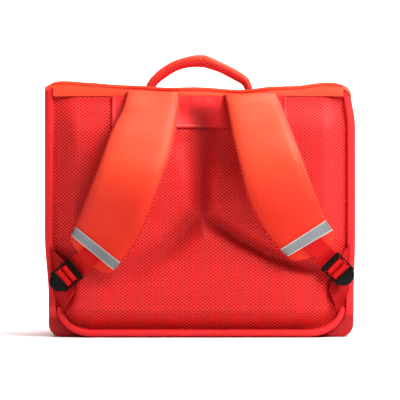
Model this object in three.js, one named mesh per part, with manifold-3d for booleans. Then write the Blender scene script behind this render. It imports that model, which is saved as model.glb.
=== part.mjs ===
// School ransel, seen from its back: a boxy satchel with a padded mesh back, two shoulder straps,
// a carrying handle and a flap that closes over the front. Millimetres, +Z up, the back faces -Y.
import * as THREE from 'three';
import Module from 'manifold-3d';

const wasm = await Module();
wasm.setup();

// Sizes of the bag
const BODY_WIDTH = 380;
const BODY_HEIGHT = 305;
const BODY_DEPTH = 150;
const CLOTH = 2;
const GAP = 0.3;
const CORNER_RADIUS = 16;
const SIDE_BULGE = 1.5;

// Sizes of the back
const BINDING_WIDTH = 10;
const BINDING_DEPTH = 12;
const SEAM_SETBACK = 4;
const SEAM_GAP = 1;
const PANEL_EDGE = 8;
const PAD_RISE = 18;
const SIDE_ROLL = 30;
const TOP_ROLL = 45;
const LOW_ROLL = 24;
const STRIP_HEIGHT = 11;
const PIPING_HEIGHT = 4.4;
const PIPING_DEPTH = 4;
const PIPING_TUCK = 1.2;
const PATCH_WIDTH = 213;
const PATCH_HEIGHT = 38;
const PATCH_THICK = 1.2;
const PATCH_LIFT = 1.5;
const BUMPER_HEIGHT = 9.8;
const BUMPER_DEPTH = 20;
const BUMPER_TIP = 9;

// Sizes of the flap and its clasps
const FOLD_RADIUS = 6;
const FLAP_END = 85;
const FLAP_CORNER = 40;
const CLASP_WIDTH = 32;
const CLASP_HEIGHT = 44;
const CLASP_THICK = 6;

// Sizes of the straps, the webbing and the buckles
const STRAP_OUT = 54;
const PAD_THICK = 9;
const PAD_END_THICK = 5;
const LINING_THICK = 2;
const LINING_RIM = 1.5;
const PAD_LIFT = 0.8;
const TAPE_THICK = 0.8;
const WEB_WIDTH = 25;
const WEB_THICK = 1.5;
const BUCKLE_SIDE = 29;
const BUCKLE_THICK = 4;
const BUCKLE_OUT = 22.5;
const BAR = 2.6;
const BUCKLE_RIM = 5.6;
const TAB_REACH = 10;
const WING_THICK = 1.5;
const WING_DROP = -2.6;
const GROOVE = -0.5;

// Sizes of the handle
const HANDLE_SPAN = 122;
const HANDLE_RISE = 32;
const HANDLE_THICK = 14;
const HANDLE_WIDTH = 28;
const FOOT_LIFT = 0.8;

// Places worked out from the sizes
const HALF_WIDTH = BODY_WIDTH / 2;
const BACK_Y = -BODY_DEPTH / 2;
const FRONT_Y = BODY_DEPTH / 2;
const SEAM_Y = BACK_Y + SEAM_SETBACK;
const PANEL_REAR_Y = SEAM_Y + PANEL_EDGE;
const PANEL_HALF = HALF_WIDTH - BINDING_WIDTH - SEAM_GAP;
const STRIP_LOW = BODY_HEIGHT - STRIP_HEIGHT;
const BASE_FRONT_Y = FRONT_Y - CLOTH - GAP - CLOTH - GAP;

// The top edge, seen from the back: across is the share of half the width, rise the share of the height
const TOP_EDGE = [
  { across: -1, rise: 0.002 },
  { across: -0.93, rise: 0.0235 },
  { across: -0.7, rise: 0.018 },
  { across: -0.54, rise: 0.01 },
  { across: -0.35, rise: 0.005 },
  { across: -0.23, rise: -0.001 },
  { across: 0, rise: 0 },
  { across: 0.26, rise: -0.0105 },
  { across: 0.34, rise: -0.0065 },
  { across: 0.45, rise: 0.002 },
  { across: 0.64, rise: 0.0065 },
  { across: 0.77, rise: 0.0165 },
  { across: 0.85, rise: 0.0195 },
  { across: 0.96, rise: 0.009 },
  { across: 1, rise: -0.012 },
];

// Channels pressed into the panel, in shares of half the width and of the height
const CHANNELS = {
  middle: [
    { across: 0, up: 0.94, half: 0.12, depth: 0.15 },
    { across: 0, up: 0.865, half: 0.13, depth: 0.8 },
    { across: 0, up: 0.79, half: 0.135, depth: 0.98 },
    { across: 0, up: 0.63, half: 0.06, depth: 0.85 },
    { across: 0, up: 0.49, half: 0.07, depth: 0.8 },
  ],
  left: [
    { across: 0, up: 0.49, half: 0.07, depth: 0.8 },
    { across: -0.225, up: 0.348, half: 0.085, depth: 0.62 },
    { across: -0.45, up: 0.27, half: 0.09, depth: 0.5 },
    { across: -0.61, up: 0.236, half: 0.09, depth: 0.3 },
  ],
  right: [
    { across: 0, up: 0.49, half: 0.07, depth: 0.8 },
    { across: 0.257, up: 0.388, half: 0.055, depth: 0.72 },
    { across: 0.45, up: 0.328, half: 0.05, depth: 0.7 },
    { across: 0.58, up: 0.3, half: 0.05, depth: 0.62 },
    { across: 0.77, up: 0.268, half: 0.055, depth: 0.4 },
  ],
};

// Shoulder straps from the top fold to the end of the pad. outer and inner are the two edges, in
// shares of half the width and of the height. out is how far the underside stands off the seam plane.
const STRAPS = {
  left: [
    { outer: -0.46, outer_up: 0.985, inner: -0.139, inner_up: 0.98, out: 0.086 },
    { outer: -0.493, outer_up: 0.906, inner: -0.146, inner_up: 0.891, out: 0.37 },
    { outer: -0.563, outer_up: 0.809, inner: -0.186, inner_up: 0.749, out: 0.755 },
    { outer: -0.624, outer_up: 0.701, inner: -0.251, inner_up: 0.629, out: 0.97 },
    { outer: -0.688, outer_up: 0.599, inner: -0.322, inner_up: 0.505, out: 0.87 },
    { outer: -0.746, outer_up: 0.509, inner: -0.405, inner_up: 0.393, out: 0.64 },
    { outer: -0.796, outer_up: 0.445, inner: -0.504, inner_up: 0.301, out: 0.49 },
    { outer: -0.822, outer_up: 0.406, inner: -0.553, inner_up: 0.268, out: 0.44 },
    { outer: -0.83, outer_up: 0.37, inner: -0.61, inner_up: 0.245, out: 0.4 },
  ],
  right: [
    { outer: 0.484, outer_up: 0.975, inner: 0.159, inner_up: 0.971, out: 0.086 },
    { outer: 0.518, outer_up: 0.921, inner: 0.177, inner_up: 0.914, out: 0.33 },
    { outer: 0.576, outer_up: 0.821, inner: 0.209, inner_up: 0.801, out: 0.74 },
    { outer: 0.643, outer_up: 0.709, inner: 0.26, inner_up: 0.673, out: 0.97 },
    { outer: 0.714, outer_up: 0.593, inner: 0.318, inner_up: 0.545, out: 0.86 },
    { outer: 0.772, outer_up: 0.511, inner: 0.405, inner_up: 0.439, out: 0.64 },
    { outer: 0.802, outer_up: 0.47, inner: 0.509, inner_up: 0.353, out: 0.49 },
    { outer: 0.849, outer_up: 0.427, inner: 0.561, inner_up: 0.323, out: 0.44 },
    { outer: 0.872, outer_up: 0.385, inner: 0.62, inner_up: 0.292, out: 0.4 },
  ],
};
const TAPE_FROM = 0.75;
const TAPE_TO = 0.868;
const PAD_TAPER_FROM = 0.9;
const PAD_END_SHARE = 0.42;

// Buckles: where the middle of the frame lies and which way the webbing runs. Wings: the ends of the
// seam that they are sewn into, and the two corners of the tip under the buckle.
const BUCKLES = {
  left: { across: -0.851, up: 0.2485, run: [-0.775, -0.632] },
  right: { across: 0.877, up: 0.275, run: [0.707, -0.707] },
};
const WINGS = {
  left: { base_up: 0.36, base_low: 0.092, tip: -0.842, tip_up: 0.289, heel: -0.805, heel_up: 0.19 },
  right: { base_up: 0.375, base_low: 0.098, tip: 0.868, tip_up: 0.3, heel: 0.83, heel_up: 0.188 },
};

// Handle from its left foot to its right foot, in shares of its span and its rise
const HANDLE = [
  { across: -0.504, rise: 0, thick: 0.78 },
  { across: -0.447, rise: 0.3, thick: 0.84 },
  { across: -0.348, rise: 0.616, thick: 0.91 },
  { across: -0.24, rise: 0.86, thick: 0.92 },
  { across: -0.111, rise: 1.01, thick: 1 },
  { across: 0.009, rise: 1.06, thick: 1.12 },
  { across: 0.082, rise: 1.01, thick: 1.05 },
  { across: 0.216, rise: 0.816, thick: 0.9 },
  { across: 0.355, rise: 0.553, thick: 0.89 },
  { across: 0.453, rise: 0.316, thick: 0.79 },
  { across: 0.496, rise: 0, thick: 0.64 },
];

// Colours and finish of each kind of cloth and plastic
const FINISHES = {
  mesh: { color: 0xd42a26, roughness: 0.9, metalness: 0 },
  smooth: { color: 0xd8302c, roughness: 0.45, metalness: 0 },
  webbing: { color: 0xb81412, roughness: 0.8, metalness: 0 },
  tape: { color: 0x9a9ca0, roughness: 0.5, metalness: 0 },
  plastic: { color: 0x161616, roughness: 0.4, metalness: 0 },
};

// Smooth value of one column of a table, with the key column rising down the table
function column(rows, key, name, at) {
  const last = rows.length - 1;
  let i = 0;
  while (i < last - 1 && at > rows[i + 1][key]) {
    i += 1;
  }
  const slope = (k) => {
    const a = Math.max(0, k - 1);
    const b = Math.min(last, k + 1);
    return (rows[b][name] - rows[a][name]) / (rows[b][key] - rows[a][key]);
  };
  const span = rows[i + 1][key] - rows[i][key];
  const t = THREE.MathUtils.clamp((at - rows[i][key]) / span, 0, 1);
  const t2 = t * t;
  const t3 = t2 * t;
  const start = (2 * t3 - 3 * t2 + 1) * rows[i][name] + (t3 - 2 * t2 + t) * span * slope(i);
  const end = (3 * t2 - 2 * t3) * rows[i + 1][name] + (t3 - t2) * span * slope(i + 1);
  return start + end;
}

function numbered(rows) {
  return rows.map((row, i) => ({ ...row, along: i / (rows.length - 1) }));
}

const ease = (share) => THREE.MathUtils.smoothstep(share, 0, 1);
const mix = THREE.MathUtils.lerp;

// Closed solid from a list of corners and triangles, turned so that its faces look outward
function solid(corners, faces) {
  let volume = 0;
  for (const [a, b, c] of faces) {
    const [p, q, r] = [corners[a], corners[b], corners[c]];
    volume += p[0] * (q[1] * r[2] - q[2] * r[1]);
    volume += p[1] * (q[2] * r[0] - q[0] * r[2]);
    volume += p[2] * (q[0] * r[1] - q[1] * r[0]);
  }
  const ordered = volume < 0 ? faces.map(([a, b, c]) => [a, c, b]) : faces;
  const geometry = new THREE.BufferGeometry();
  geometry.setAttribute('position', new THREE.Float32BufferAttribute(corners.flat(), 3));
  geometry.setIndex(ordered.flat());
  return geometry;
}

// Slab between two faces over the same grid of shares u and v
function slab(columns, rows, outer, inner) {
  const corners = [];
  const faces = [];
  const stride = rows + 1;
  const layer = (columns + 1) * stride;
  for (const face of [outer, inner]) {
    for (let i = 0; i <= columns; i += 1) {
      for (let j = 0; j <= rows; j += 1) {
        corners.push(face(i / columns, j / rows));
      }
    }
  }
  const quad = (a, b, c, d) => faces.push([a, b, c], [a, c, d]);
  for (let i = 0; i < columns; i += 1) {
    for (let j = 0; j < rows; j += 1) {
      const k = i * stride + j;
      quad(k, k + stride, k + stride + 1, k + 1);
      quad(layer + k, layer + k + 1, layer + k + stride + 1, layer + k + stride);
    }
  }
  for (let i = 0; i < columns; i += 1) {
    const low = i * stride;
    const high = low + rows;
    quad(low, layer + low, layer + low + stride, low + stride);
    quad(high, high + stride, layer + high + stride, layer + high);
  }
  for (let j = 0; j < rows; j += 1) {
    const right = columns * stride + j;
    quad(j, j + 1, layer + j + 1, layer + j);
    quad(right, layer + right, layer + right + 1, right + 1);
  }
  return solid(corners, faces);
}

// Bar whose ring of corners is carried along a path, closed at both ends
function bar(steps, around, point) {
  const corners = [];
  const faces = [];
  for (let i = 0; i <= steps; i += 1) {
    for (let j = 0; j < around; j += 1) {
      corners.push(point(i / steps, j / around));
    }
  }
  for (let i = 0; i < steps; i += 1) {
    for (let j = 0; j < around; j += 1) {
      const next = (j + 1) % around;
      const a = i * around;
      const b = a + around;
      faces.push([a + j, b + j, b + next], [a + j, b + next, a + next]);
    }
  }
  for (const i of [0, steps]) {
    const start = i * around;
    const ring = corners.slice(start, start + around);
    const middle = [0, 1, 2].map((k) => ring.reduce((sum, p) => sum + p[k], 0) / around);
    const hub = corners.push(middle) - 1;
    for (let j = 0; j < around; j += 1) {
      const next = (j + 1) % around;
      faces.push(i === 0 ? [hub, start + j, start + next] : [hub, start + next, start + j]);
    }
  }
  return solid(corners, faces);
}

// Flat outline carried straight from one depth to the other. place turns outline and depth into a point
function extruded(outline, from, to, place) {
  const flat = outline.map(([a, b]) => new THREE.Vector2(a, b));
  const count = flat.length;
  const corners = [from, to].flatMap((depth) => outline.map(([a, b]) => place(a, b, depth)));
  const turned = THREE.ShapeUtils.isClockWise(flat);
  const faces = [];
  for (const [a, b, c] of THREE.ShapeUtils.triangulateShape(flat, [])) {
    faces.push([a, c, b], [count + a, count + b, count + c]);
  }
  for (let i = 0; i < count; i += 1) {
    const next = (i + 1) % count;
    if (turned) {
      faces.push([i, count + next, next], [i, count + i, count + next]);
    } else {
      faces.push([i, next, count + next], [i, count + next, count + i]);
    }
  }
  return solid(corners, faces);
}

function asManifold(geometry) {
  return new wasm.Manifold(
    new wasm.Mesh({
      numProp: 3,
      vertProperties: new Float32Array(geometry.getAttribute('position').array),
      triVerts: new Uint32Array(geometry.getIndex().array),
    }),
  );
}

function asGeometry(body) {
  const mesh = body.getMesh();
  const geometry = new THREE.BufferGeometry();
  geometry.setAttribute('position', new THREE.Float32BufferAttribute(mesh.vertProperties, 3));
  geometry.setIndex([...mesh.triVerts]);
  return geometry;
}

const ransel = new THREE.Group();
ransel.name = 'school_ransel';

// How far the sides draw in as the bag stands: low on both sides, and at the upper right corner
const DRAW_IN = { left: 4.6, right: 1.8, corner: 6 };
const LOW_FROM = 0.41;
const LOW_OVER = 0.25;
const CORNER_FROM = 0.84;
const CORNER_OVER = 0.16;
function drawnIn(x, z) {
  const up = z / BODY_HEIGHT;
  const low = ease((LOW_FROM - up) / LOW_OVER);
  const corner = ease((up - CORNER_FROM) / CORNER_OVER);
  const inward = x < 0 ? DRAW_IN.left * low : DRAW_IN.right * low + DRAW_IN.corner * corner;
  return x * (1 - (inward / HALF_WIDTH) * (x / HALF_WIDTH) ** 2);
}

function place(name, geometry, finish, drawsIn = false) {
  const loose = geometry.toNonIndexed();
  const position = loose.getAttribute('position');
  for (let i = 0; drawsIn && i < position.count; i += 1) {
    position.setX(i, drawnIn(position.getX(i), position.getZ(i)));
  }
  loose.computeVertexNormals();
  const mesh = new THREE.Mesh(loose, new THREE.MeshStandardMaterial(FINISHES[finish]));
  mesh.name = name;
  ransel.add(mesh);
}

// Height of the top edge over any point across the bag
function topEdge(x) {
  const across = THREE.MathUtils.clamp(x / HALF_WIDTH, -1, 1);
  return BODY_HEIGHT * (1 + column(TOP_EDGE, 'across', 'rise', across));
}

// Bumper: a round rim along the lower edge of the back that thins as it turns up at both corners
const CORNER_EASE = 1.6;
const BUMPER_TURN = 0.7;
const BUMPER_STRAIGHT = 0.62;
const BUMPER_SIDE = HALF_WIDTH * 0.921;
const BUMPER_TIP_Z = BODY_HEIGHT * 0.12;
function bumperMiddle(share) {
  const side = Math.sign(share - 0.5);
  const flat = HALF_WIDTH * BUMPER_TURN;
  const reach = Math.abs(share - 0.5) * 2;
  const straight = BUMPER_STRAIGHT;
  if (reach <= straight) {
    return { x: (side * flat * reach) / straight, z: BUMPER_HEIGHT / 2, turn: 0, side };
  }
  const turn = (reach - straight) / (1 - straight);
  const angle = (turn * Math.PI) / 2;
  return {
    x: side * (flat + (BUMPER_SIDE - flat) * Math.sin(angle)),
    z: BUMPER_HEIGHT / 2 + (BUMPER_TIP_Z - BUMPER_HEIGHT / 2) * (1 - Math.cos(angle)),
    turn,
    side,
  };
}

function bumperNormal(share) {
  const step = 0.002;
  const a = bumperMiddle(Math.max(0, share - step));
  const b = bumperMiddle(Math.min(1, share + step));
  const length = Math.hypot(b.x - a.x, b.z - a.z);
  return { x: -(b.z - a.z) / length, z: (b.x - a.x) / length };
}

function bumperHalf(turn) {
  return mix(BUMPER_HEIGHT, BUMPER_TIP, ease(turn)) / 2;
}

function bumperPoint(share, around) {
  const middle = bumperMiddle(share);
  const normal = bumperNormal(share);
  const half = bumperHalf(middle.turn);
  const deep = mix(BUMPER_DEPTH, BINDING_DEPTH, ease(middle.turn)) / 2;
  const angle = around * 2 * Math.PI;
  const round = 0.72;
  const up = half * Math.sign(Math.sin(angle)) * Math.abs(Math.sin(angle)) ** round;
  const back = deep * Math.sign(Math.cos(angle)) * Math.abs(Math.cos(angle)) ** round;
  return [middle.x + normal.x * up, PANEL_REAR_Y - deep + back, middle.z + normal.z * up];
}

place('bottom_bumper', bar(30, 10, bumperPoint), 'smooth', true);

// Padded panel: its lower edge follows the bumper, its upper edge tucks in behind the strip
const BUMPER_STEPS = 60;
const BUMPER_CURVE = Array.from({ length: BUMPER_STEPS + 1 }, (_, i) => {
  const share = 0.5 + i / (2 * BUMPER_STEPS);
  const middle = bumperMiddle(share);
  const normal = bumperNormal(share);
  const up = bumperHalf(middle.turn) + mix(GAP, CORNER_EASE, ease(middle.turn * 4));
  return { x: middle.x + normal.x * up, z: middle.z + normal.z * up };
});

function panelBottom(x) {
  const reach = Math.abs(x);
  let low = BUMPER_HEIGHT + GAP;
  for (let i = 1; i < BUMPER_CURVE.length; i += 1) {
    const [a, b] = [BUMPER_CURVE[i - 1], BUMPER_CURVE[i]];
    if (reach >= a.x && reach <= b.x) {
      low = mix(a.z, b.z, (reach - a.x) / (b.x - a.x));
    }
    if (reach > b.x) {
      low = Math.max(low, b.z, i === BUMPER_CURVE.length - 1 ? BUMPER_TIP_Z + CORNER_EASE : 0);
    }
  }
  return low;
}

function panelTop(x) {
  return topEdge(THREE.MathUtils.clamp(x, -PANEL_HALF * 0.97, PANEL_HALF * 0.97)) - FOLD_RADIUS - 1;
}

function channelShare(x, z) {
  let share = 0;
  for (const rows of Object.values(CHANNELS)) {
    for (let i = 1; i < rows.length; i += 1) {
      const [a, b] = [rows[i - 1], rows[i]];
      const start = [a.across * HALF_WIDTH, a.up * BODY_HEIGHT];
      const run = [b.across * HALF_WIDTH - start[0], b.up * BODY_HEIGHT - start[1]];
      const length = run[0] ** 2 + run[1] ** 2;
      const along = ((x - start[0]) * run[0] + (z - start[1]) * run[1]) / length;
      const t = THREE.MathUtils.clamp(along, 0, 1);
      const away = Math.hypot(x - start[0] - run[0] * t, z - start[1] - run[1] * t);
      const half = mix(a.half, b.half, t) * HALF_WIDTH;
      share = Math.max(share, mix(a.depth, b.depth, t) * Math.exp(-((away / half) ** 2)));
    }
  }
  return share;
}

function panelRise(x, z) {
  const side = ease((PANEL_HALF - Math.abs(x)) / SIDE_ROLL);
  const top = ease((STRIP_LOW - GAP - z) / TOP_ROLL);
  const low = ease((z - panelBottom(x)) / LOW_ROLL);
  return PAD_RISE * side * top * low * (1 - channelShare(x, z));
}

const panelFace = (x, z) => SEAM_Y - panelRise(x, z);

const PANEL_COLUMNS = 26;
const PANEL_ROWS = 22;
const CORNER_COLUMN = BUMPER_CURVE[BUMPER_STEPS].x + GAP / 2;
function panelSpot(u, v) {
  const even = PANEL_HALF * mix(mix(-1, 1, u), Math.sin((u - 0.5) * Math.PI), 0.4);
  const number = Math.round(u * PANEL_COLUMNS);
  const besideEdge = number === 1 || number === PANEL_COLUMNS - 1;
  const x = besideEdge ? Math.sign(even) * CORNER_COLUMN : even;
  return [x, mix(panelBottom(x), panelTop(x), v)];
}

place(
  'back_mesh_panel',
  slab(
    PANEL_COLUMNS,
    PANEL_ROWS,
    (u, v) => {
      const [x, z] = panelSpot(u, v);
      return [x, panelFace(x, z), z];
    },
    (u, v) => {
      const [x, z] = panelSpot(u, v);
      return [x, PANEL_REAR_Y, z];
    },
  ),
  'mesh',
  true,
);

// Smooth patch that follows the pads under the strip
function patchSpot(u, v) {
  return [PATCH_WIDTH * (u - 0.505), STRIP_LOW - GAP - PATCH_HEIGHT * (1 - v)];
}
function patchFace(lift) {
  return (u, v) => {
    const [x, z] = patchSpot(u, v);
    return [x, panelFace(x, z) - lift, z];
  };
}
place('yoke_patch', slab(22, 6, patchFace(PATCH_LIFT + PATCH_THICK), patchFace(PATCH_LIFT)), 'smooth', true);

// Bound seams: a band down the side, which spreads at the lower corner to meet the rim
const BINDING_TURN = 0.7;
const BINDING_END_TURN = 0.25;
const BINDING_RECESS = 0.6;
function bindingEdges(share) {
  const top = topEdge(HALF_WIDTH) - FOLD_RADIUS;
  if (share <= BINDING_TURN) {
    const z = mix(top, BUMPER_TIP_Z, share / BINDING_TURN);
    return { outer: [HALF_WIDTH, z], inner: [HALF_WIDTH - BINDING_WIDTH, z] };
  }
  const low = (share - BINDING_TURN) / (1 - BINDING_TURN);
  const straight = BUMPER_TIP_Z - CORNER_RADIUS;
  const bend = (CORNER_RADIUS * Math.PI) / 2;
  const run = low * (straight + bend + CORNER_RADIUS * 0.75);
  const angle = THREE.MathUtils.clamp((run - straight) / CORNER_RADIUS, 0, Math.PI / 2);
  const outer = [
    HALF_WIDTH - CORNER_RADIUS + CORNER_RADIUS * Math.cos(angle) - Math.max(0, run - straight - bend),
    Math.max(BUMPER_TIP_Z - run, CORNER_RADIUS) - CORNER_RADIUS * Math.sin(angle),
  ];
  const turn = mix(1, BINDING_END_TURN, low);
  const at = 0.5 + (BUMPER_STRAIGHT + (1 - BUMPER_STRAIGHT) * turn) / 2;
  const middle = bumperMiddle(at);
  const normal = bumperNormal(at);
  const off = bumperHalf(turn) + GAP * 2;
  return { outer, inner: [middle.x - normal.x * off, middle.z - normal.z * off] };
}
const BINDING_RING = [
  [0, 1],
  [0, -0.75],
  [0.12, -1],
  [0.8, -1],
  [1, -0.6],
  [1, 1],
];
function bindingPoint(side) {
  return (share, around) => {
    const { outer, inner } = bindingEdges(share);
    const [wide, deep] = BINDING_RING[Math.round(around * BINDING_RING.length)];
    const x = side * mix(inner[0], outer[0], wide);
    const foldEnd = mix(topEdge(side * inner[0]), topEdge(side * outer[0]), wide) - FOLD_RADIUS - GAP * 3;
    const z = share === 0 ? foldEnd : mix(inner[1], outer[1], wide);
    const low = ease(((share - BINDING_TURN) / (1 - BINDING_TURN)) * 3);
    const front = mix(deep, 1, BINDING_RECESS * low);
    return [x, BACK_Y + (BINDING_DEPTH / 2) * (1 + front), z];
  };
}
place('side_binding_left', bar(20, BINDING_RING.length, bindingPoint(-1)), 'smooth', true);
place('side_binding_right', bar(20, BINDING_RING.length, bindingPoint(1)), 'smooth', true);

// Cloth wall of both sides and the base, in one piece
const GUSSET_START_Y = PANEL_REAR_Y + GAP;
function gussetPath(share, inset) {
  const side = share < 0.5 ? -1 : 1;
  const reach = Math.abs(share - 0.5) * 2;
  const base = 0.35;
  const turn = 0.5;
  const outer = CORNER_RADIUS - inset;
  if (reach <= base) {
    return [(side * (HALF_WIDTH - CORNER_RADIUS) * reach) / base, inset, 0];
  }
  if (reach <= turn) {
    const angle = ((reach - base) / (turn - base)) * (Math.PI / 2);
    const x = HALF_WIDTH - CORNER_RADIUS + outer * Math.sin(angle);
    return [side * x, CORNER_RADIUS - outer * Math.cos(angle), 0];
  }
  const up = (reach - turn) / (1 - turn);
  const top = topEdge(side * HALF_WIDTH) - CLOTH - GAP * 2;
  return [side * (HALF_WIDTH - inset), mix(CORNER_RADIUS, top, up), Math.sin(up * Math.PI * 0.9)];
}
function gussetFace(inset) {
  return (u, v) => {
    const [x, z, swell] = gussetPath(u, inset);
    const y = mix(GUSSET_START_Y, BASE_FRONT_Y, v);
    return [x + Math.sign(x) * SIDE_BULGE * swell * Math.sin(v * Math.PI), y, z];
  };
}
place('gusset', slab(32, 4, gussetFace(0), gussetFace(CLOTH)), 'smooth', true);

// Front wall, with the same lower corners as the gusset
const FRONT_WALL_Y = BASE_FRONT_Y + GAP;
function frontOutline() {
  const points = [];
  for (let i = 0; i <= 6; i += 1) {
    const angle = (i / 6) * (Math.PI / 2);
    const x = HALF_WIDTH - CORNER_RADIUS + CORNER_RADIUS * Math.sin(angle);
    points.push([x, CORNER_RADIUS * (1 - Math.cos(angle))]);
  }
  const left = points.map(([x, z]) => [-x, z]).reverse();
  const top = Math.min(topEdge(HALF_WIDTH), topEdge(HALF_WIDTH * 0.26)) - FOLD_RADIUS;
  return [[-HALF_WIDTH, top], ...left, ...points, [HALF_WIDTH, top]];
}
place(
  'front_panel',
  extruded(frontOutline(), FRONT_WALL_Y, FRONT_WALL_Y + CLOTH, (a, b, depth) => [a, depth, b]),
  'smooth',
  true,
);

// Flap: up the strip, over the top and down the front
function flapBottom(x) {
  const past = Math.max(0, Math.abs(x) - (HALF_WIDTH - FLAP_CORNER));
  return FLAP_END + FLAP_CORNER - Math.sqrt(Math.max(0, FLAP_CORNER ** 2 - past ** 2));
}
const FLAP_STOPS = [0, 0.05, 0.14, 0.5, 0.6, 1];
const FLAP_NOTCH = PANEL_HALF / HALF_WIDTH;
const FLAP_INNER = Array.from({ length: 17 }, (_, i) => FLAP_NOTCH * (i / 8 - 1));
const FLAP_COLUMNS = [-1, -FLAP_NOTCH - 0.002, ...FLAP_INNER, FLAP_NOTCH + 0.002, 1];
function flapPath(x, share, inset) {
  const top = topEdge(x) - inset;
  const radius = FOLD_RADIUS - inset;
  const back = BACK_Y + FOLD_RADIUS;
  const front = FRONT_Y - FOLD_RADIUS;
  const centre = topEdge(x) - FOLD_RADIUS;
  const stripLow = Math.abs(x) > PANEL_HALF + GAP / 2 ? centre - GAP : STRIP_LOW;
  const [start, fold, over, turn, down, end] = FLAP_STOPS;
  if (share <= fold) {
    return [BACK_Y + inset, mix(stripLow, centre, (share - start) / (fold - start))];
  }
  if (share <= over) {
    const angle = ((share - fold) / (over - fold)) * (Math.PI / 2);
    return [back - radius * Math.cos(angle), centre + radius * Math.sin(angle)];
  }
  if (share <= turn) {
    return [mix(back, front, (share - over) / (turn - over)), top];
  }
  if (share <= down) {
    const angle = ((share - turn) / (down - turn)) * (Math.PI / 2);
    return [front + radius * Math.sin(angle), centre + radius * Math.cos(angle)];
  }
  return [FRONT_Y - inset, mix(centre, flapBottom(x), (share - down) / (end - down))];
}
function flapFace(inset) {
  return (u, v) => {
    const x = HALF_WIDTH * FLAP_COLUMNS[Math.round(u * (FLAP_COLUMNS.length - 1))];
    const [y, z] = flapPath(x, FLAP_SHARES[Math.round(v * (FLAP_SHARES.length - 1))], inset);
    return [x, y, z];
  };
}
const FLAP_SHARES = [0, 0.05, 0.08, 0.11, 0.14, 0.3, 0.5, 0.535, 0.57, 0.6, 0.75, 0.9, 1];
place(
  'flap',
  slab(FLAP_COLUMNS.length - 1, FLAP_SHARES.length - 1, flapFace(0), flapFace(CLOTH)),
  'smooth',
  true,
);

// Rolled fold along the top edge
function pipingPoint(share, around) {
  const x = (HALF_WIDTH - BINDING_WIDTH) * mix(-1, 1, share);
  const angle = around * 2 * Math.PI;
  const high = PIPING_HEIGHT / 2;
  const deep = PIPING_DEPTH / 2;
  const z = topEdge(x) - high + 0.4 + high * Math.sin(angle);
  return [x, BACK_Y - GAP + PIPING_TUCK - deep + deep * Math.cos(angle), z];
}
place('top_piping', bar(24, 8, pipingPoint), 'smooth', true);

// Clasps that hold the flap's lower edge to the front wall
const FRONT_FACE_Y = FRONT_WALL_Y + CLOTH;
function claspProfile() {
  const outer = FRONT_Y + GAP + CLASP_THICK;
  const high = FLAP_END + CLASP_HEIGHT / 2;
  const low = FLAP_END - CLASP_HEIGHT / 2;
  return [
    [FRONT_Y + GAP, high],
    [outer - 2, high],
    [outer, high - 3],
    [outer, low + 3],
    [outer - 2, low],
    [FRONT_FACE_Y + GAP, low],
    [FRONT_FACE_Y + GAP, FLAP_END - GAP],
    [FRONT_Y + GAP, FLAP_END - GAP],
  ];
}
for (const [name, side] of [
  ['left', -1],
  ['right', 1],
]) {
  const middle = side * HALF_WIDTH * 0.5;
  const from = middle - CLASP_WIDTH / 2;
  const to = middle + CLASP_WIDTH / 2;
  place(`clasp_${name}`, extruded(claspProfile(), from, to, (a, b, depth) => [depth, a, b]), 'plastic');
}

// Handle: two halves of one padded bow, split along the seam
const HANDLE_Y = BACK_Y + HANDLE_WIDTH / 2;
function handleMiddle(share) {
  const rows = HANDLE_ROWS;
  const foot = mix(topEdge(-HANDLE_SPAN / 2), topEdge(HANDLE_SPAN / 2), share);
  return {
    x: column(rows, 'along', 'across', share) * HANDLE_SPAN,
    z: foot + column(rows, 'along', 'rise', share) * HANDLE_RISE,
    half: (column(rows, 'along', 'thick', share) * HANDLE_THICK) / 2,
  };
}
const HANDLE_ROWS = numbered(HANDLE);
function handlePoint(outward) {
  return (share, around) => {
    const step = 0.004;
    const a = handleMiddle(Math.max(0, share - step));
    const b = handleMiddle(Math.min(1, share + step));
    const middle = handleMiddle(share);
    const length = Math.hypot(b.x - a.x, b.z - a.z);
    const normal = [-(b.z - a.z) / length, (b.x - a.x) / length];
    const points = 6;
    const k = Math.round(around * (points + 1));
    const angle = (k / points) * Math.PI;
    const wide = (HANDLE_WIDTH / 2) * Math.cos(angle);
    const high = outward * (GAP / 2 + (middle.half - GAP / 2) * Math.sin(angle) ** 0.8);
    const x = middle.x + normal[0] * high;
    const ends = share === 0 || share === 1;
    const z = ends ? topEdge(x) + FOOT_LIFT : middle.z + normal[1] * high;
    return [x, HANDLE_Y + wide, z];
  };
}
place('handle_cover', bar(26, 7, handlePoint(1)), 'smooth');
place('handle_mesh', bar(26, 7, handlePoint(-1)), 'mesh');

// Shoulder straps
function strapShape(rows) {
  const table = numbered(rows);
  const at = (name, t) => column(table, 'along', name, t);
  const spot = (t, v) => {
    const past = Math.max(0, (t - PAD_TAPER_FROM) / (1 - PAD_TAPER_FROM));
    const wide = 1 - (1 - PAD_END_SHARE) * (1 - Math.sqrt(1 - past ** 2));
    const share = 0.5 + (v * wide) / 2;
    return {
      x: mix(at('outer', t), at('inner', t), share) * HALF_WIDTH,
      z: mix(at('outer_up', t), at('inner_up', t), share) * BODY_HEIGHT,
      under: SEAM_Y - at('out', t) * STRAP_OUT,
    };
  };
  const steep = (t) => {
    const a = spot(Math.max(0, t - 0.02), 0);
    const b = spot(Math.min(1, t + 0.02), 0);
    const fall = Math.hypot(b.x - a.x, b.z - a.z);
    return Math.hypot(1, (b.under - a.under) / fall);
  };
  const padThick = (t, v) => {
    const whole = mix(PAD_THICK, PAD_END_THICK, ease((t - 0.6) / 0.4)) * mix(0.55, 1, ease(t / 0.12));
    const round = 0.3 + 0.7 * Math.sqrt(1 - Math.abs(v) ** 5);
    return whole * round * steep(t);
  };
  const liningLift = (t) => LINING_THICK * steep(t);
  return { spot, padThick, liningLift };
}

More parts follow.
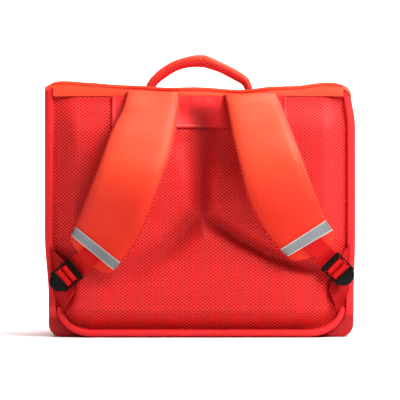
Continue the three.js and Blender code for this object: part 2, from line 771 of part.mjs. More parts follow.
function strapFace(shape, layer, lift) {
  const { spot, padThick, liningLift } = shape;
  return (t, v) => {
    const { x, z, under } = spot(t, v);
    if (layer === 'under') {
      return [x, under - lift, z];
    }
    if (layer === 'lining') {
      return [x, under - liningLift(t) - lift, z];
    }
    return [x, under - liningLift(t) - PAD_LIFT - padThick(t, Math.min(1, Math.max(-1, v))) - lift, z];
  };
}

// Depth of a strap's outer face straight in front of a point, found by closing in on its shares
function faceInFront(face, x, z) {
  let t = 0.9;
  let v = 0;
  for (let i = 0; i < 20; i += 1) {
    const step = 0.001;
    const here = face(t, v);
    const down = face(t - step, v);
    const over = face(t, v - step);
    const a = (here[0] - down[0]) / step;
    const b = (here[0] - over[0]) / step;
    const c = (here[2] - down[2]) / step;
    const d = (here[2] - over[2]) / step;
    const det = a * d - b * c;
    const dx = x - here[0];
    const dz = z - here[2];
    t = THREE.MathUtils.clamp(t + (d * dx - b * dz) / det, 0.02, 0.995);
    v = THREE.MathUtils.clamp(v + (a * dz - c * dx) / det, -0.98, 0.98);
  }
  return face(t, v)[1];
}

const STRAP_ROWS = 22;
const WING_HEEL = 0.925;
const WING_SPREAD = 0.35;
const TAB_STEPS = 8;
const LINING_REACH = 1 + (2 * LINING_RIM) / (HALF_WIDTH * 0.36);
for (const side of ['left', 'right']) {
  const shape = strapShape(STRAPS[side]);
  const outer = strapFace(shape, 'pad', 0);
  const wide = (face, reach) => (u, v) => face(u, mix(-1, 1, v) * reach);
  const liningOuter = wide(strapFace(shape, 'lining', 0), LINING_REACH);
  const liningUnder = wide(strapFace(shape, 'under', 0), LINING_REACH);
  place(`strap_lining_${side}`, slab(STRAP_ROWS, 2, liningOuter, liningUnder), 'mesh');
  const padUnder = wide(strapFace(shape, 'lining', PAD_LIFT), 1);
  place(`strap_pad_${side}`, slab(STRAP_ROWS, 7, wide(outer, 1), padUnder), 'smooth');
  const tapeFace = (lift) => (u, v) => {
    const [x, y, z] = outer(mix(TAPE_FROM, TAPE_TO, u), mix(-0.99, 0.99, v));
    return [x, y - lift, z];
  };
  place(`reflective_tape_${side}`, slab(3, 8, tapeFace(GAP + TAPE_THICK), tapeFace(GAP)), 'tape');
  const { across, up, run } = BUCKLES[side];
  const middle = [across * HALF_WIDTH, up * BODY_HEIGHT];
  const level = SEAM_Y - BUCKLE_OUT;
  // In the buckle's own frame: along the webbing, across it, and how far it stands off the level
  const put = (along, over, off) => [
    middle[0] + run[0] * along - run[1] * over,
    level - off,
    middle[1] + run[1] * along + run[0] * over,
  ];
  const box = (from, to, half, low, high) =>
    asManifold(
      extruded(
        [
          [from, -half],
          [to, -half],
          [to, half],
          [from, half],
        ],
        low,
        high,
        put,
      ),
    );
  const end = BUCKLE_SIDE / 2;
  const window = WEB_WIDTH / 2 + GAP * 2;
  const reach = end - BUCKLE_RIM;
  const tab = Array.from({ length: TAB_STEPS + 1 }, (_, i) => {
    const angle = (i / TAB_STEPS) * Math.PI;
    return [end - 1 + TAB_REACH * Math.sin(angle), end * 0.82 * Math.cos(angle)];
  });
  const opening = box(-reach, reach, window, -1, BUCKLE_THICK + 1);
  const frame = box(-end, end, end, 0, BUCKLE_THICK).subtract(opening);
  const bars = [-1, 1].map((turn) => {
    const at = turn * reach * 0.52;
    return box(at - BAR * 0.3, at + BAR * 0.3, window + 1, 0, BAR * 0.6);
  });
  const tongue = asManifold(extruded(tab, 0.6, BUCKLE_THICK - 0.8, put));
  place(`buckle_${side}`, asGeometry(frame.add(bars[0]).add(bars[1]).add(tongue)), 'plastic');

  // Ribbon over a run of the webbing: begin(over) and end are its ends, height is its lower face
  const ribbon = (begin, finish, steps, height) => {
    const face = (lift) => (u, v) => {
      const over = mix(-WEB_WIDTH / 2, WEB_WIDTH / 2, v);
      const along = mix(begin(over), finish, u);
      return put(along, over, height(along, over) + lift);
    };
    return slab(steps, 4, face(WEB_THICK), face(0));
  };
  const inFrame = ([x, , z]) => [
    (x - middle[0]) * run[0] + (z - middle[1]) * run[1],
    -(x - middle[0]) * run[1] + (z - middle[1]) * run[0],
  ];
  const bump = reach * 0.52;
  const hump = (away, floor) =>
    Math.max(floor, BAR * 0.6 + GAP * 2 - 0.55 * Math.max(0, Math.abs(away) - BAR * 0.8) ** 2);
  const [tapeA, tapeB] = [inFrame(outer(TAPE_TO, -1)), inFrame(outer(TAPE_TO, 1))];
  const tapeLine = (over) => mix(tapeA[0], tapeB[0], (over - tapeA[1]) / (tapeB[1] - tapeA[1])) + 1.2;
  const lastPad = Math.min(inFrame(outer(1, 0))[0], -end - 8);
  const onPad = (along, over) => {
    const [x, , z] = put(along, over, 0);
    return level - faceInFront(outer, x, z) + GAP * 2;
  };
  const under = -(WEB_THICK + GAP);
  const strapHeight = (along, over) => {
    if (along <= lastPad) {
      return onPad(along, over);
    }
    if (along <= -reach + GAP) {
      const drop = ease((along - lastPad) / (-end - 1 - lastPad));
      return mix(onPad(lastPad, over), under, drop);
    }
    return mix(under, hump(along + bump, along < -bump ? under : GROOVE), ease((along + reach - GAP) / 3.2));
  };
  place(`strap_web_${side}`, ribbon(tapeLine, -GAP, 26, strapHeight), 'webbing');
  const tucked = WING_DROP + GAP;
  const anchorHeight = (along) =>
    mix(tucked, hump(along - bump, along > bump ? tucked : GROOVE), ease((reach - 0.6 - along) / 3.2));
  place(`anchor_web_${side}`, ribbon(() => GAP, reach - GAP * 2, 12, anchorHeight), 'webbing');

  const wing = WINGS[side];
  const edge = Math.sign(across) * (HALF_WIDTH - BINDING_WIDTH * 0.65);
  const wingFace = (lift) => (u, v) => {
    const base = mix(edge * WING_HEEL, edge, ease(v / WING_SPREAD));
    const x = mix(base, mix(wing.heel, wing.tip, v) * HALF_WIDTH, u);
    const z = mix(mix(wing.base_low, wing.base_up, v), mix(wing.heel_up, wing.tip_up, v), u) * BODY_HEIGHT;
    return [x, mix(BACK_Y - GAP - WING_THICK, level - WING_DROP, ease(u / 0.6)) + lift, z];
  };
  place(`anchor_wing_${side}`, slab(10, 4, wingFace(0), wingFace(WING_THICK)), 'smooth', true);
}

export default ransel;
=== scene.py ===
# School ransel seen from its padded back: cloth, mesh, straps and buckles over the solids of the frame
import math

import bpy
import numpy as np
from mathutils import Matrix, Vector


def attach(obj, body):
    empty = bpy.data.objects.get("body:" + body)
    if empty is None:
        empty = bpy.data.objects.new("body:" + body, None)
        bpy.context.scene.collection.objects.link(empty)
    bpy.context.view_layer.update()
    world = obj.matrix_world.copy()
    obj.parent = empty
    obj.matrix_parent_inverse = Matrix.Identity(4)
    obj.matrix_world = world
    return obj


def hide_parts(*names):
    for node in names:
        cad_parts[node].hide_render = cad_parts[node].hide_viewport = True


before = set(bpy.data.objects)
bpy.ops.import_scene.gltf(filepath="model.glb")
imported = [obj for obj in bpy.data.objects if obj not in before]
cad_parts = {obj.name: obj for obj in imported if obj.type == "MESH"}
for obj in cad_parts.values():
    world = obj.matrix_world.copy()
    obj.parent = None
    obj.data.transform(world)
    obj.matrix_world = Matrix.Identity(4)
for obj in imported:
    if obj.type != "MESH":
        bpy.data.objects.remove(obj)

scene = bpy.context.scene
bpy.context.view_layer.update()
MM = 0.001

# Sizes of the bag, in millimetres
BODY_WIDTH = 380.0
BODY_HEIGHT = 305.0
BODY_DEPTH = 150.0
CLOTH = 2.0
GAP = 0.3
CORNER_RADIUS = 16.0
BINDING_WIDTH = 10.0
BINDING_DEPTH = 12.0
SEAM_SETBACK = 4.0
SEAM_GAP = 1.0
PANEL_EDGE = 8.0
PAD_RISE = 18.0
SIDE_ROLL = 30.0
TOP_ROLL = 45.0
LOW_ROLL = 24.0
STRIP_HEIGHT = 11.0
PIPING_HEIGHT = 4.4
PIPING_DEPTH = 4.0
PATCH_WIDTH = 213.0
PATCH_HEIGHT = 38.0
PATCH_THICK = 1.2
PATCH_MIDDLE = 0.505
PATCH_LIFT = 0.9
PATCH_HEM = {"rise": 0.7, "at": 1.6, "wide": 1.3}
BUMPER_HEIGHT = 9.8
BUMPER_DEPTH = 20.0
BUMPER_TIP = 9.0
FOLD_RADIUS = 6.0
FLAP_END = 85.0
STRIP_LEAN = 1.2
FLAP_CORNER = 40.0
STRAP_OUT = 54.0
PAD_THICK = 9.0
PAD_END_THICK = 5.0
LINING_THICK = 2.0
LINING_RIM = 1.5
PAD_LIFT = 0.8
TAPE_THICK = 0.8
WEB_WIDTH = 25.0
WEB_THICK = 1.5
BUCKLE_SIDE = 29.0
BUCKLE_OUT = 22.5
BAR = 2.6
BUCKLE_RIM = 5.6
WING_THICK = 1.5
WING_DROP = -2.6
GROOVE = -0.5
HANDLE_SPAN = 122.0
HANDLE_RISE = 32.0
HANDLE_THICK = 14.0
HANDLE_WIDTH = 28.0
HANDLE_SQUARE = 0.62
HANDLE_CUT = {"depth": 0.05, "at": 2.5, "wide": 1.8}
FOOT_LIFT = 0.8

# Sizes of the cloth's own detail, in millimetres
HOLE_ACROSS = 5.4
HOLE_UP = 4.2
HOLE_DEEP = 0.45
STITCH_LONG = 2.4
STITCH_STEP = 3.6
STITCH_WIDE = 0.55
STITCH_FLAT = 1.3
STITCH_PROBE = 0.4

# The five rings of a stitch: place along it, size, and height above the cloth, as shares
STITCH_RINGS = (
    (-0.5, -0.38, 0.0, 0.38, 0.5),
    (0.25, 0.8, 1.0, 0.8, 0.25),
    (-0.5, -0.05, 0.28, -0.05, -0.5),
)

# Cloth simulation: air pressure on coarse grids, and the farthest that a point may move, in millimetres
SWELL_FRAMES = 20
SWELL_SMOOTH = 8
CLOTH_SETTINGS = {
    "quality": 6,
    "mass": 0.2,
    "tension_stiffness": 8.0,
    "compression_stiffness": 8.0,
    "bending_stiffness": 6.0,
    "use_pressure": True,
    "vertex_group_mass": "held",
}
PANEL_GRID = (280, 270)
PANEL_SWELL_GRID = (84, 66)
PANEL_PRESSURE = 4.0
PANEL_CAP = 7.0
PANEL_HELD = {"channel": 0.72, "side": 4.0, "top": 2.0}
STRAP_SWELL_GRID = (52, 18)
STRAP_PRESSURE = 3.0
STRAP_CAP = 5.0
STRAP_HELD = 0.86

HALF_WIDTH = BODY_WIDTH / 2
BACK_Y = -BODY_DEPTH / 2
FRONT_Y = BODY_DEPTH / 2
SEAM_Y = BACK_Y + SEAM_SETBACK
PANEL_REAR_Y = SEAM_Y + PANEL_EDGE
PANEL_HALF = HALF_WIDTH - BINDING_WIDTH - SEAM_GAP
STRIP_LOW = BODY_HEIGHT - STRIP_HEIGHT
BASE_FRONT_Y = FRONT_Y - 2 * CLOTH - 2 * GAP

# The rim, the bound seams, the panel's crown under the strip and the brow between the straps
BUMPER_SIDE = HALF_WIDTH * 0.921
BUMPER_FLAT = HALF_WIDTH * 0.7
BUMPER_TIP_Z = BODY_HEIGHT * 0.12
BUMPER_STRAIGHT = 0.62
CORNER_EASE = 1.6
UNDER_RIM = 2.5
BINDING_TURN = 0.7
BINDING_END_TURN = 0.25
BINDING_RECESS = 0.6
TOP_SHARE = 0.06
STITCH_SHARE = 0.72
CROWN_ABOVE = 2.2
CROWN_OVER = 3.7
CROWN_SHARE = 0.28
BROW = {"rise": 4.0, "up": 284.0, "half_width": 24.0, "half_height": 10.0}

# Section of a bound seam: shares of its width, and of half its depth from back to front
BINDING_SECTION = (
    (0, 0, 0.02, 0.07, 0.2, 0.35, 0.5, 0.6, 0.68, 0.72, 0.76, 0.86, 0.94, 0.99, 1, 1),
    (1, -0.82, -0.92, -0.97, -0.98, -0.98, -0.94, -0.9, -0.84, -0.78, -0.76, -0.68, -0.58, -0.44, -0.3, 1),
)

# The top edge seen from the back: share of half the width, and rise as a share of the height
TOP_EDGE = [
    (-1.0, 0.002),
    (-0.93, 0.0235),
    (-0.7, 0.018),
    (-0.54, 0.01),
    (-0.35, 0.005),
    (-0.23, -0.001),
    (0.0, 0.0),
    (0.26, -0.0105),
    (0.34, -0.0065),
    (0.45, 0.002),
    (0.64, 0.0065),
    (0.77, 0.0165),
    (0.85, 0.0195),
    (0.96, 0.009),
    (1.0, -0.012),
]

# Channels pressed into the panel, as shares: across, up, half of their width, and depth
CHANNELS = [
    [
        (0, 0.93, 0.12, 0),
        (0, 0.868, 0.14, 0.95),
        (0, 0.79, 0.135, 1),
        (0, 0.63, 0.06, 0.85),
        (0, 0.49, 0.07, 0.8),
    ],
    [
        (0, 0.49, 0.07, 0.8),
        (-0.225, 0.348, 0.085, 0.62),
        (-0.45, 0.27, 0.09, 0.5),
        (-0.61, 0.236, 0.09, 0.3),
    ],
    [
        (0, 0.49, 0.07, 0.8),
        (0.257, 0.388, 0.055, 0.72),
        (0.45, 0.328, 0.05, 0.7),
        (0.58, 0.3, 0.05, 0.62),
        (0.77, 0.268, 0.055, 0.4),
    ],
]

# Straps from the top fold to the end of the pad: both edges, and how far the underside stands off
STRAP_COLUMNS = "outer outer_up inner inner_up out"
STRAPS = {
    "left": [
        (-0.46, 0.985, -0.139, 0.98, 0.086),
        (-0.493, 0.906, -0.146, 0.891, 0.37),
        (-0.563, 0.809, -0.186, 0.749, 0.755),
        (-0.624, 0.701, -0.251, 0.629, 0.97),
        (-0.688, 0.599, -0.322, 0.505, 0.87),
        (-0.746, 0.509, -0.405, 0.393, 0.64),
        (-0.796, 0.445, -0.504, 0.301, 0.49),
        (-0.822, 0.406, -0.553, 0.268, 0.44),
        (-0.83, 0.37, -0.61, 0.245, 0.4),
    ],
    "right": [
        (0.484, 0.975, 0.159, 0.971, 0.086),
        (0.518, 0.921, 0.177, 0.914, 0.33),
        (0.576, 0.821, 0.209, 0.801, 0.74),
        (0.643, 0.709, 0.26, 0.673, 0.97),
        (0.714, 0.593, 0.318, 0.545, 0.86),
        (0.772, 0.511, 0.405, 0.439, 0.64),
        (0.802, 0.47, 0.509, 0.353, 0.49),
        (0.849, 0.427, 0.561, 0.323, 0.44),
        (0.872, 0.385, 0.62, 0.292, 0.4),
    ],
}
TAPE_FROM = 0.75
TAPE_TO = 0.868
TAPE_MIDDLE = 6.0
PAD_TAPER_FROM = 0.9
PAD_END_SHARE = 0.42
PAD_HALF_SHARE = 0.085
STRAP_SHARE = 0.36
WING_HEEL = 0.925
WING_SPREAD = 0.35
WINDOW_WIDTH = 21.8
# Heights in metres over which the straps' cloth turns to its painted lighter top
LIT_TOP_FROM_TO = (0.15, 0.22)
BUCKLES = {
    "left": {"across": -0.851, "up": 0.2485, "run": (-0.775, -0.632)},
    "right": {"across": 0.877, "up": 0.275, "run": (0.707, -0.707)},
}
WINGS = {
    "left": {"base_up": 0.36, "base_low": 0.092, "tip": (-0.842, 0.289), "heel": (-0.805, 0.19)},
    "right": {"base_up": 0.375, "base_low": 0.098, "tip": (0.868, 0.3), "heel": (0.83, 0.188)},
}
HANDLE = [
    (-0.504, 0, 0.78),
    (-0.447, 0.3, 0.84),
    (-0.348, 0.616, 0.91),
    (-0.24, 0.86, 0.92),
    (-0.111, 1.01, 1),
    (0.009, 1.06, 1.12),
    (0.082, 1.01, 1.05),
    (0.216, 0.816, 0.9),
    (0.355, 0.553, 0.89),
    (0.453, 0.316, 0.79),
    (0.496, 0, 0.64),
]

# How far the sides draw in as the bag stands: low on both sides, and at the upper right corner
DRAW_IN = {"left": 4.6, "right": 1.8, "corner": 6.0}
LOW_FROM = 0.41
LOW_OVER = 0.25
CORNER_FROM = 0.84
CORNER_OVER = 0.16


def column(table, name, at, key="along"):
    """A smooth curve through one column: cubic pieces between the rows, sloped by the rows beside them."""
    keys, values = table[key], table[name]
    slopes = np.empty(len(keys))
    slopes[1:-1] = (values[2:] - values[:-2]) / (keys[2:] - keys[:-2])
    slopes[0] = (values[1] - values[0]) / (keys[1] - keys[0])
    slopes[-1] = (values[-1] - values[-2]) / (keys[-1] - keys[-2])
    at = np.clip(at, keys[0], keys[-1])
    i = np.clip(np.searchsorted(keys, at, side="right") - 1, 0, len(keys) - 2)
    span = keys[i + 1] - keys[i]
    t = (at - keys[i]) / span
    start = (2 * t**3 - 3 * t**2 + 1) * values[i] + (t**3 - 2 * t**2 + t) * span * slopes[i]
    return start + (3 * t**2 - 2 * t**3) * values[i + 1] + (t**3 - t**2) * span * slopes[i + 1]


def ease(share):
    """A share held between 0 and 1 and smoothed at both ends."""
    share = np.clip(share, 0.0, 1.0)
    return share * share * (3 - 2 * share)


def mix(a, b, t):
    """The value between a and b at share t."""
    return a + (b - a) * t


def bell(away, wide):
    """A bell shape: 1 where away is 0, and about a third where it is wide."""
    return np.exp(-((away / wide) ** 2))


def table_of(names, rows):
    """Columns by name, and one more, along, that counts the rows from 0 to 1."""
    columns = dict(zip(names.split(), np.array(rows, float).T, strict=True))
    return {"along": np.linspace(0, 1, len(rows)), **columns}


def drawn_in(points):
    """The body's sides as they stand: each point moves in, by more the farther it is from the middle."""
    x, up = points[..., 0], points[..., 2] / BODY_HEIGHT
    low = ease((LOW_FROM - up) / LOW_OVER)
    corner = ease((up - CORNER_FROM) / CORNER_OVER)
    inward = np.where(x < 0, DRAW_IN["left"] * low, DRAW_IN["right"] * low + DRAW_IN["corner"] * corner)
    moved = points.copy()
    moved[..., 0] = x * (1 - inward / HALF_WIDTH * (x / HALF_WIDTH) ** 2)
    return moved


def line_normals(x, z):
    """Unit normals of a line seen from the back."""
    dx, dz = np.gradient(x), np.gradient(z)
    length = np.hypot(dx, dz)
    return -dz / length, dx / length


def ripple(x, z, size, seed):
    """A soft wave field from -1 to 1: five sine waves in fixed directions, with lengths around size."""
    total = np.zeros(np.broadcast(x, z).shape)
    for k in range(5):
        angle = seed + 2.4 * k
        length = size * (0.7 + 0.22 * k)
        phase = (x * math.cos(angle) + z * math.sin(angle)) * 2 * math.pi / length
        total = total + np.sin(phase + seed * k)
    return total / 5


# Grids of points turned into closed meshes


def outward(points, faces):
    """Faces with four corners, turned so that the closed surface has a positive volume."""
    a, b, c, d = (points[faces[:, k]] for k in range(4))
    volume = np.einsum("ij,ij->", a, np.cross(b, c)) + np.einsum("ij,ij->", a, np.cross(c, d))
    return faces[:, ::-1] if volume < 0 else faces


def quads(n, m):
    """Point numbers of a grid with n by m points, and its faces with four corners."""
    index = np.arange(n * m).reshape(n, m)
    faces = np.stack([index[:-1, :-1], index[1:, :-1], index[1:, 1:], index[:-1, 1:]], -1)
    return index, faces.reshape(-1, 4)


def once_around(index):
    """Point numbers once around the outside of a grid."""
    return np.concatenate([index[:, 0], index[-1, 1:], index[-2::-1, -1], index[0, -2:0:-1]])


def new_object(name, points, faces):
    """A smooth object in the scene, from points in millimetres."""
    mesh = bpy.data.meshes.new(name)
    mesh.from_pydata((points.reshape(-1, 3) * MM).tolist(), [], faces.tolist())
    mesh.polygons.foreach_set("use_smooth", np.ones(len(mesh.polygons), bool))
    piece = bpy.data.objects.new(name, mesh)
    scene.collection.objects.link(piece)
    return piece


def cloth_piece(node, points, faces, uv, material, crease):
    """The dressed piece that stands for a node, with its flat layout and its sharp edges."""
    piece = new_object(f"{node}_cloth", points, outward(points, faces))
    mesh = piece.data
    mesh.validate()
    layer = mesh.uv_layers.new(name="surface")
    corner = np.empty(len(mesh.loops), np.int32)
    mesh.loops.foreach_get("vertex_index", corner)
    layer.data.foreach_set("uv", (uv[corner] * MM).ravel())
    mesh.set_sharp_from_angle(angle=math.radians(crease))
    return dress(piece, material, node)


def run_along(path):
    """How far each point lies along a path."""
    return np.concatenate([[0.0], np.cumsum(np.linalg.norm(np.diff(path, axis=0), axis=1))])


def lengths(grid, axis):
    """How far each point lies along one way of the grid, measured on its middle line."""
    middle = grid.shape[1 - axis] // 2
    run = run_along(grid[:, middle] if axis == 0 else grid[middle])
    return np.broadcast_to(run.reshape((-1, 1) if axis == 0 else (1, -1)), grid.shape[:2])


def slab(node, outer, inner, material, uv=None, crease=40):
    """A closed slab: two grids of the same size, joined by walls along their four edges."""
    index, front = quads(*outer.shape[:2])
    edge = once_around(index)
    after = np.roll(edge, -1)
    wall = np.stack([after, edge, edge + index.size, after + index.size], -1)
    faces = np.concatenate([front, front[:, ::-1] + index.size, wall])
    points = np.concatenate([outer.reshape(-1, 3), inner.reshape(-1, 3)])
    if uv is None:
        uv = np.stack([lengths(outer, 0), lengths(outer, 1)], -1)
    return cloth_piece(node, points, faces, np.concatenate([uv.reshape(-1, 2)] * 2), material, crease)


def tube(n, m):
    """Point numbers of n rings with m corners, and the faces between the rings."""
    index = np.arange(n * m).reshape(n, m)
    after = np.roll(index, -1, axis=1)
    return index, np.stack([index[:-1], index[1:], after[1:], after[:-1]], -1).reshape(-1, 4)


def bar(node, rings, material, crease=50):
    """A closed bar: rings of corners along a path, closed at each end by a ring drawn to its middle."""
    n, m = rings.shape[:2]
    middles = np.stack([rings[0].mean(0), rings[-1].mean(0)])
    points = np.concatenate([rings.reshape(-1, 3), middles])
    index, sides = tube(n, m)
    caps = []
    for ring, hub in ((0, n * m), (n - 1, n * m + 1)):
        a, b = index[ring, 0::2], np.roll(index[ring, 0::2], -1)
        cap = np.stack([np.full(len(a), hub), a, index[ring, 1::2], b], -1)
        caps.append(cap[:, ::-1] if ring else cap)
    around = np.broadcast_to(run_along(rings[n // 2]), (n, m))
    uv = np.concatenate([np.stack([lengths(rings, 0), around], -1).reshape(-1, 2), np.zeros((2, 2))])
    return cloth_piece(node, points, np.concatenate([sides] + caps), uv, material, crease)


def stitch_row(path, normal):
    """Stitches along a path: one flat bead of thread every step, drawn as five rings of four corners."""
    run = run_along(path)
    count = max(1, int(run[-1] / STITCH_STEP))
    middles = (np.arange(count) + 0.5) * run[-1] / count

    def at(distance, values):
        return np.stack([np.interp(distance, run, values[:, k]) for k in range(3)], -1)

    def unit(vectors):
        return (vectors / np.linalg.norm(vectors, axis=1, keepdims=True))[:, None, None, :]

    up = unit(at(middles, normal))
    ahead = unit(at(middles + STITCH_PROBE, path) - at(middles - STITCH_PROBE, path))
    beside = np.cross(ahead, up)
    stops, swell, sink = (np.array(row)[None, :, None, None] for row in STITCH_RINGS)
    turn = np.array([[1, 0], [0, 1], [-1, 0], [0, -1]])[None, None] * STITCH_WIDE / 2
    side = swell * turn[..., :1] * STITCH_FLAT * beside
    lift = (swell * turn[..., 1:] + sink * STITCH_WIDE) * up
    return at(middles, path)[:, None, None, :] + stops * STITCH_LONG * ahead + side + lift


def stitches(name, rows):
    """All stitches of some rows as one piece."""
    beads = np.concatenate([stitch_row(path, normal) for path, normal in rows])
    count, n, m = beads.shape[:3]
    index, sides = tube(n, m)
    one = outward(beads[0].reshape(-1, 3), np.concatenate([sides[:, ::-1], index[[0], ::-1], index[[-1]]]))
    faces = one[None] + (np.arange(count) * n * m)[:, None, None]
    return new_object(name, beads, faces.reshape(-1, 4))


# Cloth simulation of the padded faces


def resampled(grid, count, axis):
    """Values between the points of a coarse grid: a smooth cubic through the four nearest points."""
    grid = np.moveaxis(grid, axis, 0)
    last = len(grid) - 1
    at = np.linspace(0, last, count)
    i = np.minimum(at.astype(int), last - 1)
    t = (at - i).reshape(-1, *[1] * (grid.ndim - 1))
    a, b, c, d = (grid[np.clip(i + k, 0, last)] for k in (-1, 0, 1, 2))
    value = b + 0.5 * t * (c - a + t * (2 * a - 5 * b + 4 * c - d + t * (3 * (b - c) + d - a)))
    return np.moveaxis(value, 0, axis)


def pressed_out(grid, held, pressure, cap):
    """How far a padded face swells: held points stay, air presses the rest out, by cap at the most."""
    _, faces = quads(*grid.shape[:2])
    a, b, _, d = (grid.reshape(-1, 3)[faces[:, k]] for k in range(4))
    if np.cross(b - a, d - a)[:, 1].sum() > 0:
        faces = faces[:, ::-1]
    piece = new_object("swelling", grid, faces)
    mesh = piece.data
    group = piece.vertex_groups.new(name="held")
    group.add(np.flatnonzero(held.ravel()).tolist(), 1.0, "REPLACE")
    cloth = piece.modifiers.new("cloth", "CLOTH")
    for label, value in CLOTH_SETTINGS.items():
        setattr(cloth.settings, label, value)
    cloth.settings.uniform_pressure_force = pressure
    cloth.settings.effector_weights.gravity = 0
    cloth.point_cache.frame_start, cloth.point_cache.frame_end = 1, SWELL_FRAMES
    for number in range(1, SWELL_FRAMES + 1):
        scene.frame_set(number)
    swollen = piece.evaluated_get(bpy.context.evaluated_depsgraph_get()).to_mesh()
    after = np.empty(grid.size, np.float32)
    swollen.vertices.foreach_get("co", after)
    bpy.data.objects.remove(piece)
    bpy.data.meshes.remove(mesh)
    scene.frame_set(1)
    moved = after.reshape(grid.shape).astype(float) / MM - grid
    far = np.linalg.norm(moved, axis=-1, keepdims=True)
    moved *= np.minimum(1, cap / np.maximum(far, 1e-6))
    for _ in range(SWELL_SMOOTH):
        around = moved[:-2, 1:-1] + moved[2:, 1:-1] + moved[1:-1, :-2] + moved[1:-1, 2:]
        moved[1:-1, 1:-1] = around / 4
    return moved


# Nodes and node groups shared by the materials


def feed(socket, value):
    if isinstance(value, bpy.types.NodeSocket):
        socket.id_data.links.new(value, socket)
    else:
        socket.default_value = value


def add_node(kind, inputs, **settings):
    """The outputs of a new node, in the tree of its first linked input."""
    tree = next(value.id_data for value in inputs.values() if isinstance(value, bpy.types.NodeSocket))
    node = tree.nodes.new(f"ShaderNode{kind}")
    for label, value in settings.items():
        setattr(node, label, value)
    for label, value in inputs.items():
        feed(node.inputs[label], value)
    return node.outputs


def maths(operation, *values):
    return add_node("Math", dict(enumerate(values)), operation=operation)[0]


def spread(value, low, high, to_low=0.0, to_high=1.0):
    """Eases from to_low to to_high while the value goes from low to high."""
    ends = {"Value": value, "From Min": low, "From Max": high, "To Min": to_low, "To Max": to_high}
    return add_node("MapRange", ends, interpolation_type="SMOOTHSTEP")["Result"]


def noise(vector, scale, detail=2.0, roughness=0.5):
    given = {"Vector": vector, "Scale": scale, "Detail": detail, "Roughness": roughness}
    return add_node("TexNoise", given)["Fac"]


def parts_of(vector):
    return add_node("SeparateXYZ", {0: vector})


def blend_colours(share, first, second):
    return add_node("Mix", {"Factor": share, "A": first, "B": second}, data_type="RGBA")["Result"]


def bump(height, distance, strength=1.0, **normal):
    """Bumps of one height in metres, over the bumps of another normal if one is given."""
    given = {"Height": height, "Distance": distance, "Strength": strength, **normal}
    return add_node("Bump", given)["Normal"]


def crossed_waves(wave, vector, pitches, turn):
    """One wave across times one wave along, moved to the range from 0 to 1."""
    spot = parts_of(vector)
    waves = []
    for k, pitch in enumerate(pitches):
        turns = maths("DIVIDE", spot[k], pitch)
        waves.append(maths(wave, maths("MULTIPLY", turns, turn)))
    return maths("MULTIPLY_ADD", maths("MULTIPLY", *waves), 0.5, 0.5)


def mesh_lattice(vector, across, up, size):
    """Rows of holes, every second row moved by half a pitch."""
    field = crossed_waves("COSINE", vector, (across, up), 2 * math.pi)
    edge = maths("SUBTRACT", 1.0, size)
    hole = spread(field, maths("SUBTRACT", edge, 0.12), maths("ADD", edge, 0.1))
    yarn = noise(vector, 2600.0, 1.0)
    return hole, maths("MULTIPLY_ADD", yarn, 0.25, maths("SUBTRACT", 1.0, hole))


def cloth_weave(vector, thread):
    """A plain weave: two crossed sets of threads that pass over and under each other, and uneven yarn."""
    height = crossed_waves("SINE", vector, (thread, thread), math.pi)
    stretched = add_node("VectorMath", {0: vector, 1: (1.0, 7.0, 1.0)}, operation="MULTIPLY")[0]
    return height, noise(stretched, 220.0, 3.0, 0.6)


def webbing_ribs(vector, rib, width):
    """Narrow ribs across the tape with a slight slant, and a firmer selvedge at both sides."""
    spot = parts_of(vector)
    half = maths("MULTIPLY", width, 0.5)
    away = maths("ABSOLUTE", maths("SUBTRACT", spot[1], half))
    slant = maths("DIVIDE", maths("MULTIPLY_ADD", away, 0.5, spot[0]), rib)
    ribs = maths("SINE", maths("MULTIPLY", slant, 2 * math.pi))
    lines = maths("SINE", maths("MULTIPLY", spot[1], 2 * math.pi / 0.0021))
    crossed = maths("MULTIPLY", ribs, maths("ABSOLUTE", lines))
    selvedge = spread(maths("DIVIDE", away, half), 0.86, 0.92)
    return maths("MULTIPLY_ADD", crossed, 0.5, 0.5), selvedge


def surface_wear(vector, scale, amount):
    """Uneven tone from handling: broad clouds and fine specks."""
    broad = noise(vector, scale, 3.0, 0.55)
    fine = maths("MULTIPLY", noise(vector, maths("MULTIPLY", scale, 24.0)), 0.2)
    tone = maths("MULTIPLY_ADD", spread(broad, 0.35, 0.7), 0.8, fine)
    return maths("MULTIPLY", tone, amount), spread(broad, 0.4, 0.65)


def shader_group(build, outputs, **defaults):
    """A node group with a vector and some numbers as inputs; build gives its outputs in order."""
    tree = bpy.data.node_groups.new(build.__name__, "ShaderNodeTree")
    tree.interface.new_socket("Vector", in_out="INPUT", socket_type="NodeSocketVector")
    for label, value in defaults.items():
        name = label.replace("_", " ")
        socket = tree.interface.new_socket(name, in_out="INPUT", socket_type="NodeSocketFloat")
        socket.default_value = value
    for label in outputs:
        tree.interface.new_socket(label, in_out="OUTPUT", socket_type="NodeSocketFloat")
    given = tree.nodes.new("NodeGroupInput").outputs
    closing = tree.nodes.new("NodeGroupOutput").inputs
    for label, value in zip(outputs, build(*given[: len(defaults) + 1]), strict=True):
        feed(closing[label], value)
    return tree


PITCHES = {"Pitch_Across": HOLE_ACROSS * MM, "Pitch_Up": HOLE_UP * MM}
GROUPS = {
    "mesh_lattice": shader_group(mesh_lattice, ("Hole", "Height"), **PITCHES, Hole_Size=0.3),
    "cloth_weave": shader_group(cloth_weave, ("Height", "Slub"), Thread=0.0006),
    "webbing_ribs": shader_group(webbing_ribs, ("Height", "Selvedge"), Rib=0.0016, Width=WEB_WIDTH * MM),
    "surface_wear": shader_group(surface_wear, ("Tone", "Rub"), Scale=18.0, Amount=0.5),
}

# Materials: each paint function gives what feeds the Principled shader


def use_group(name, **values):
    given = {label.replace("_", " "): value for label, value in values.items()}
    return add_node("Group", given, node_tree=GROUPS[name])


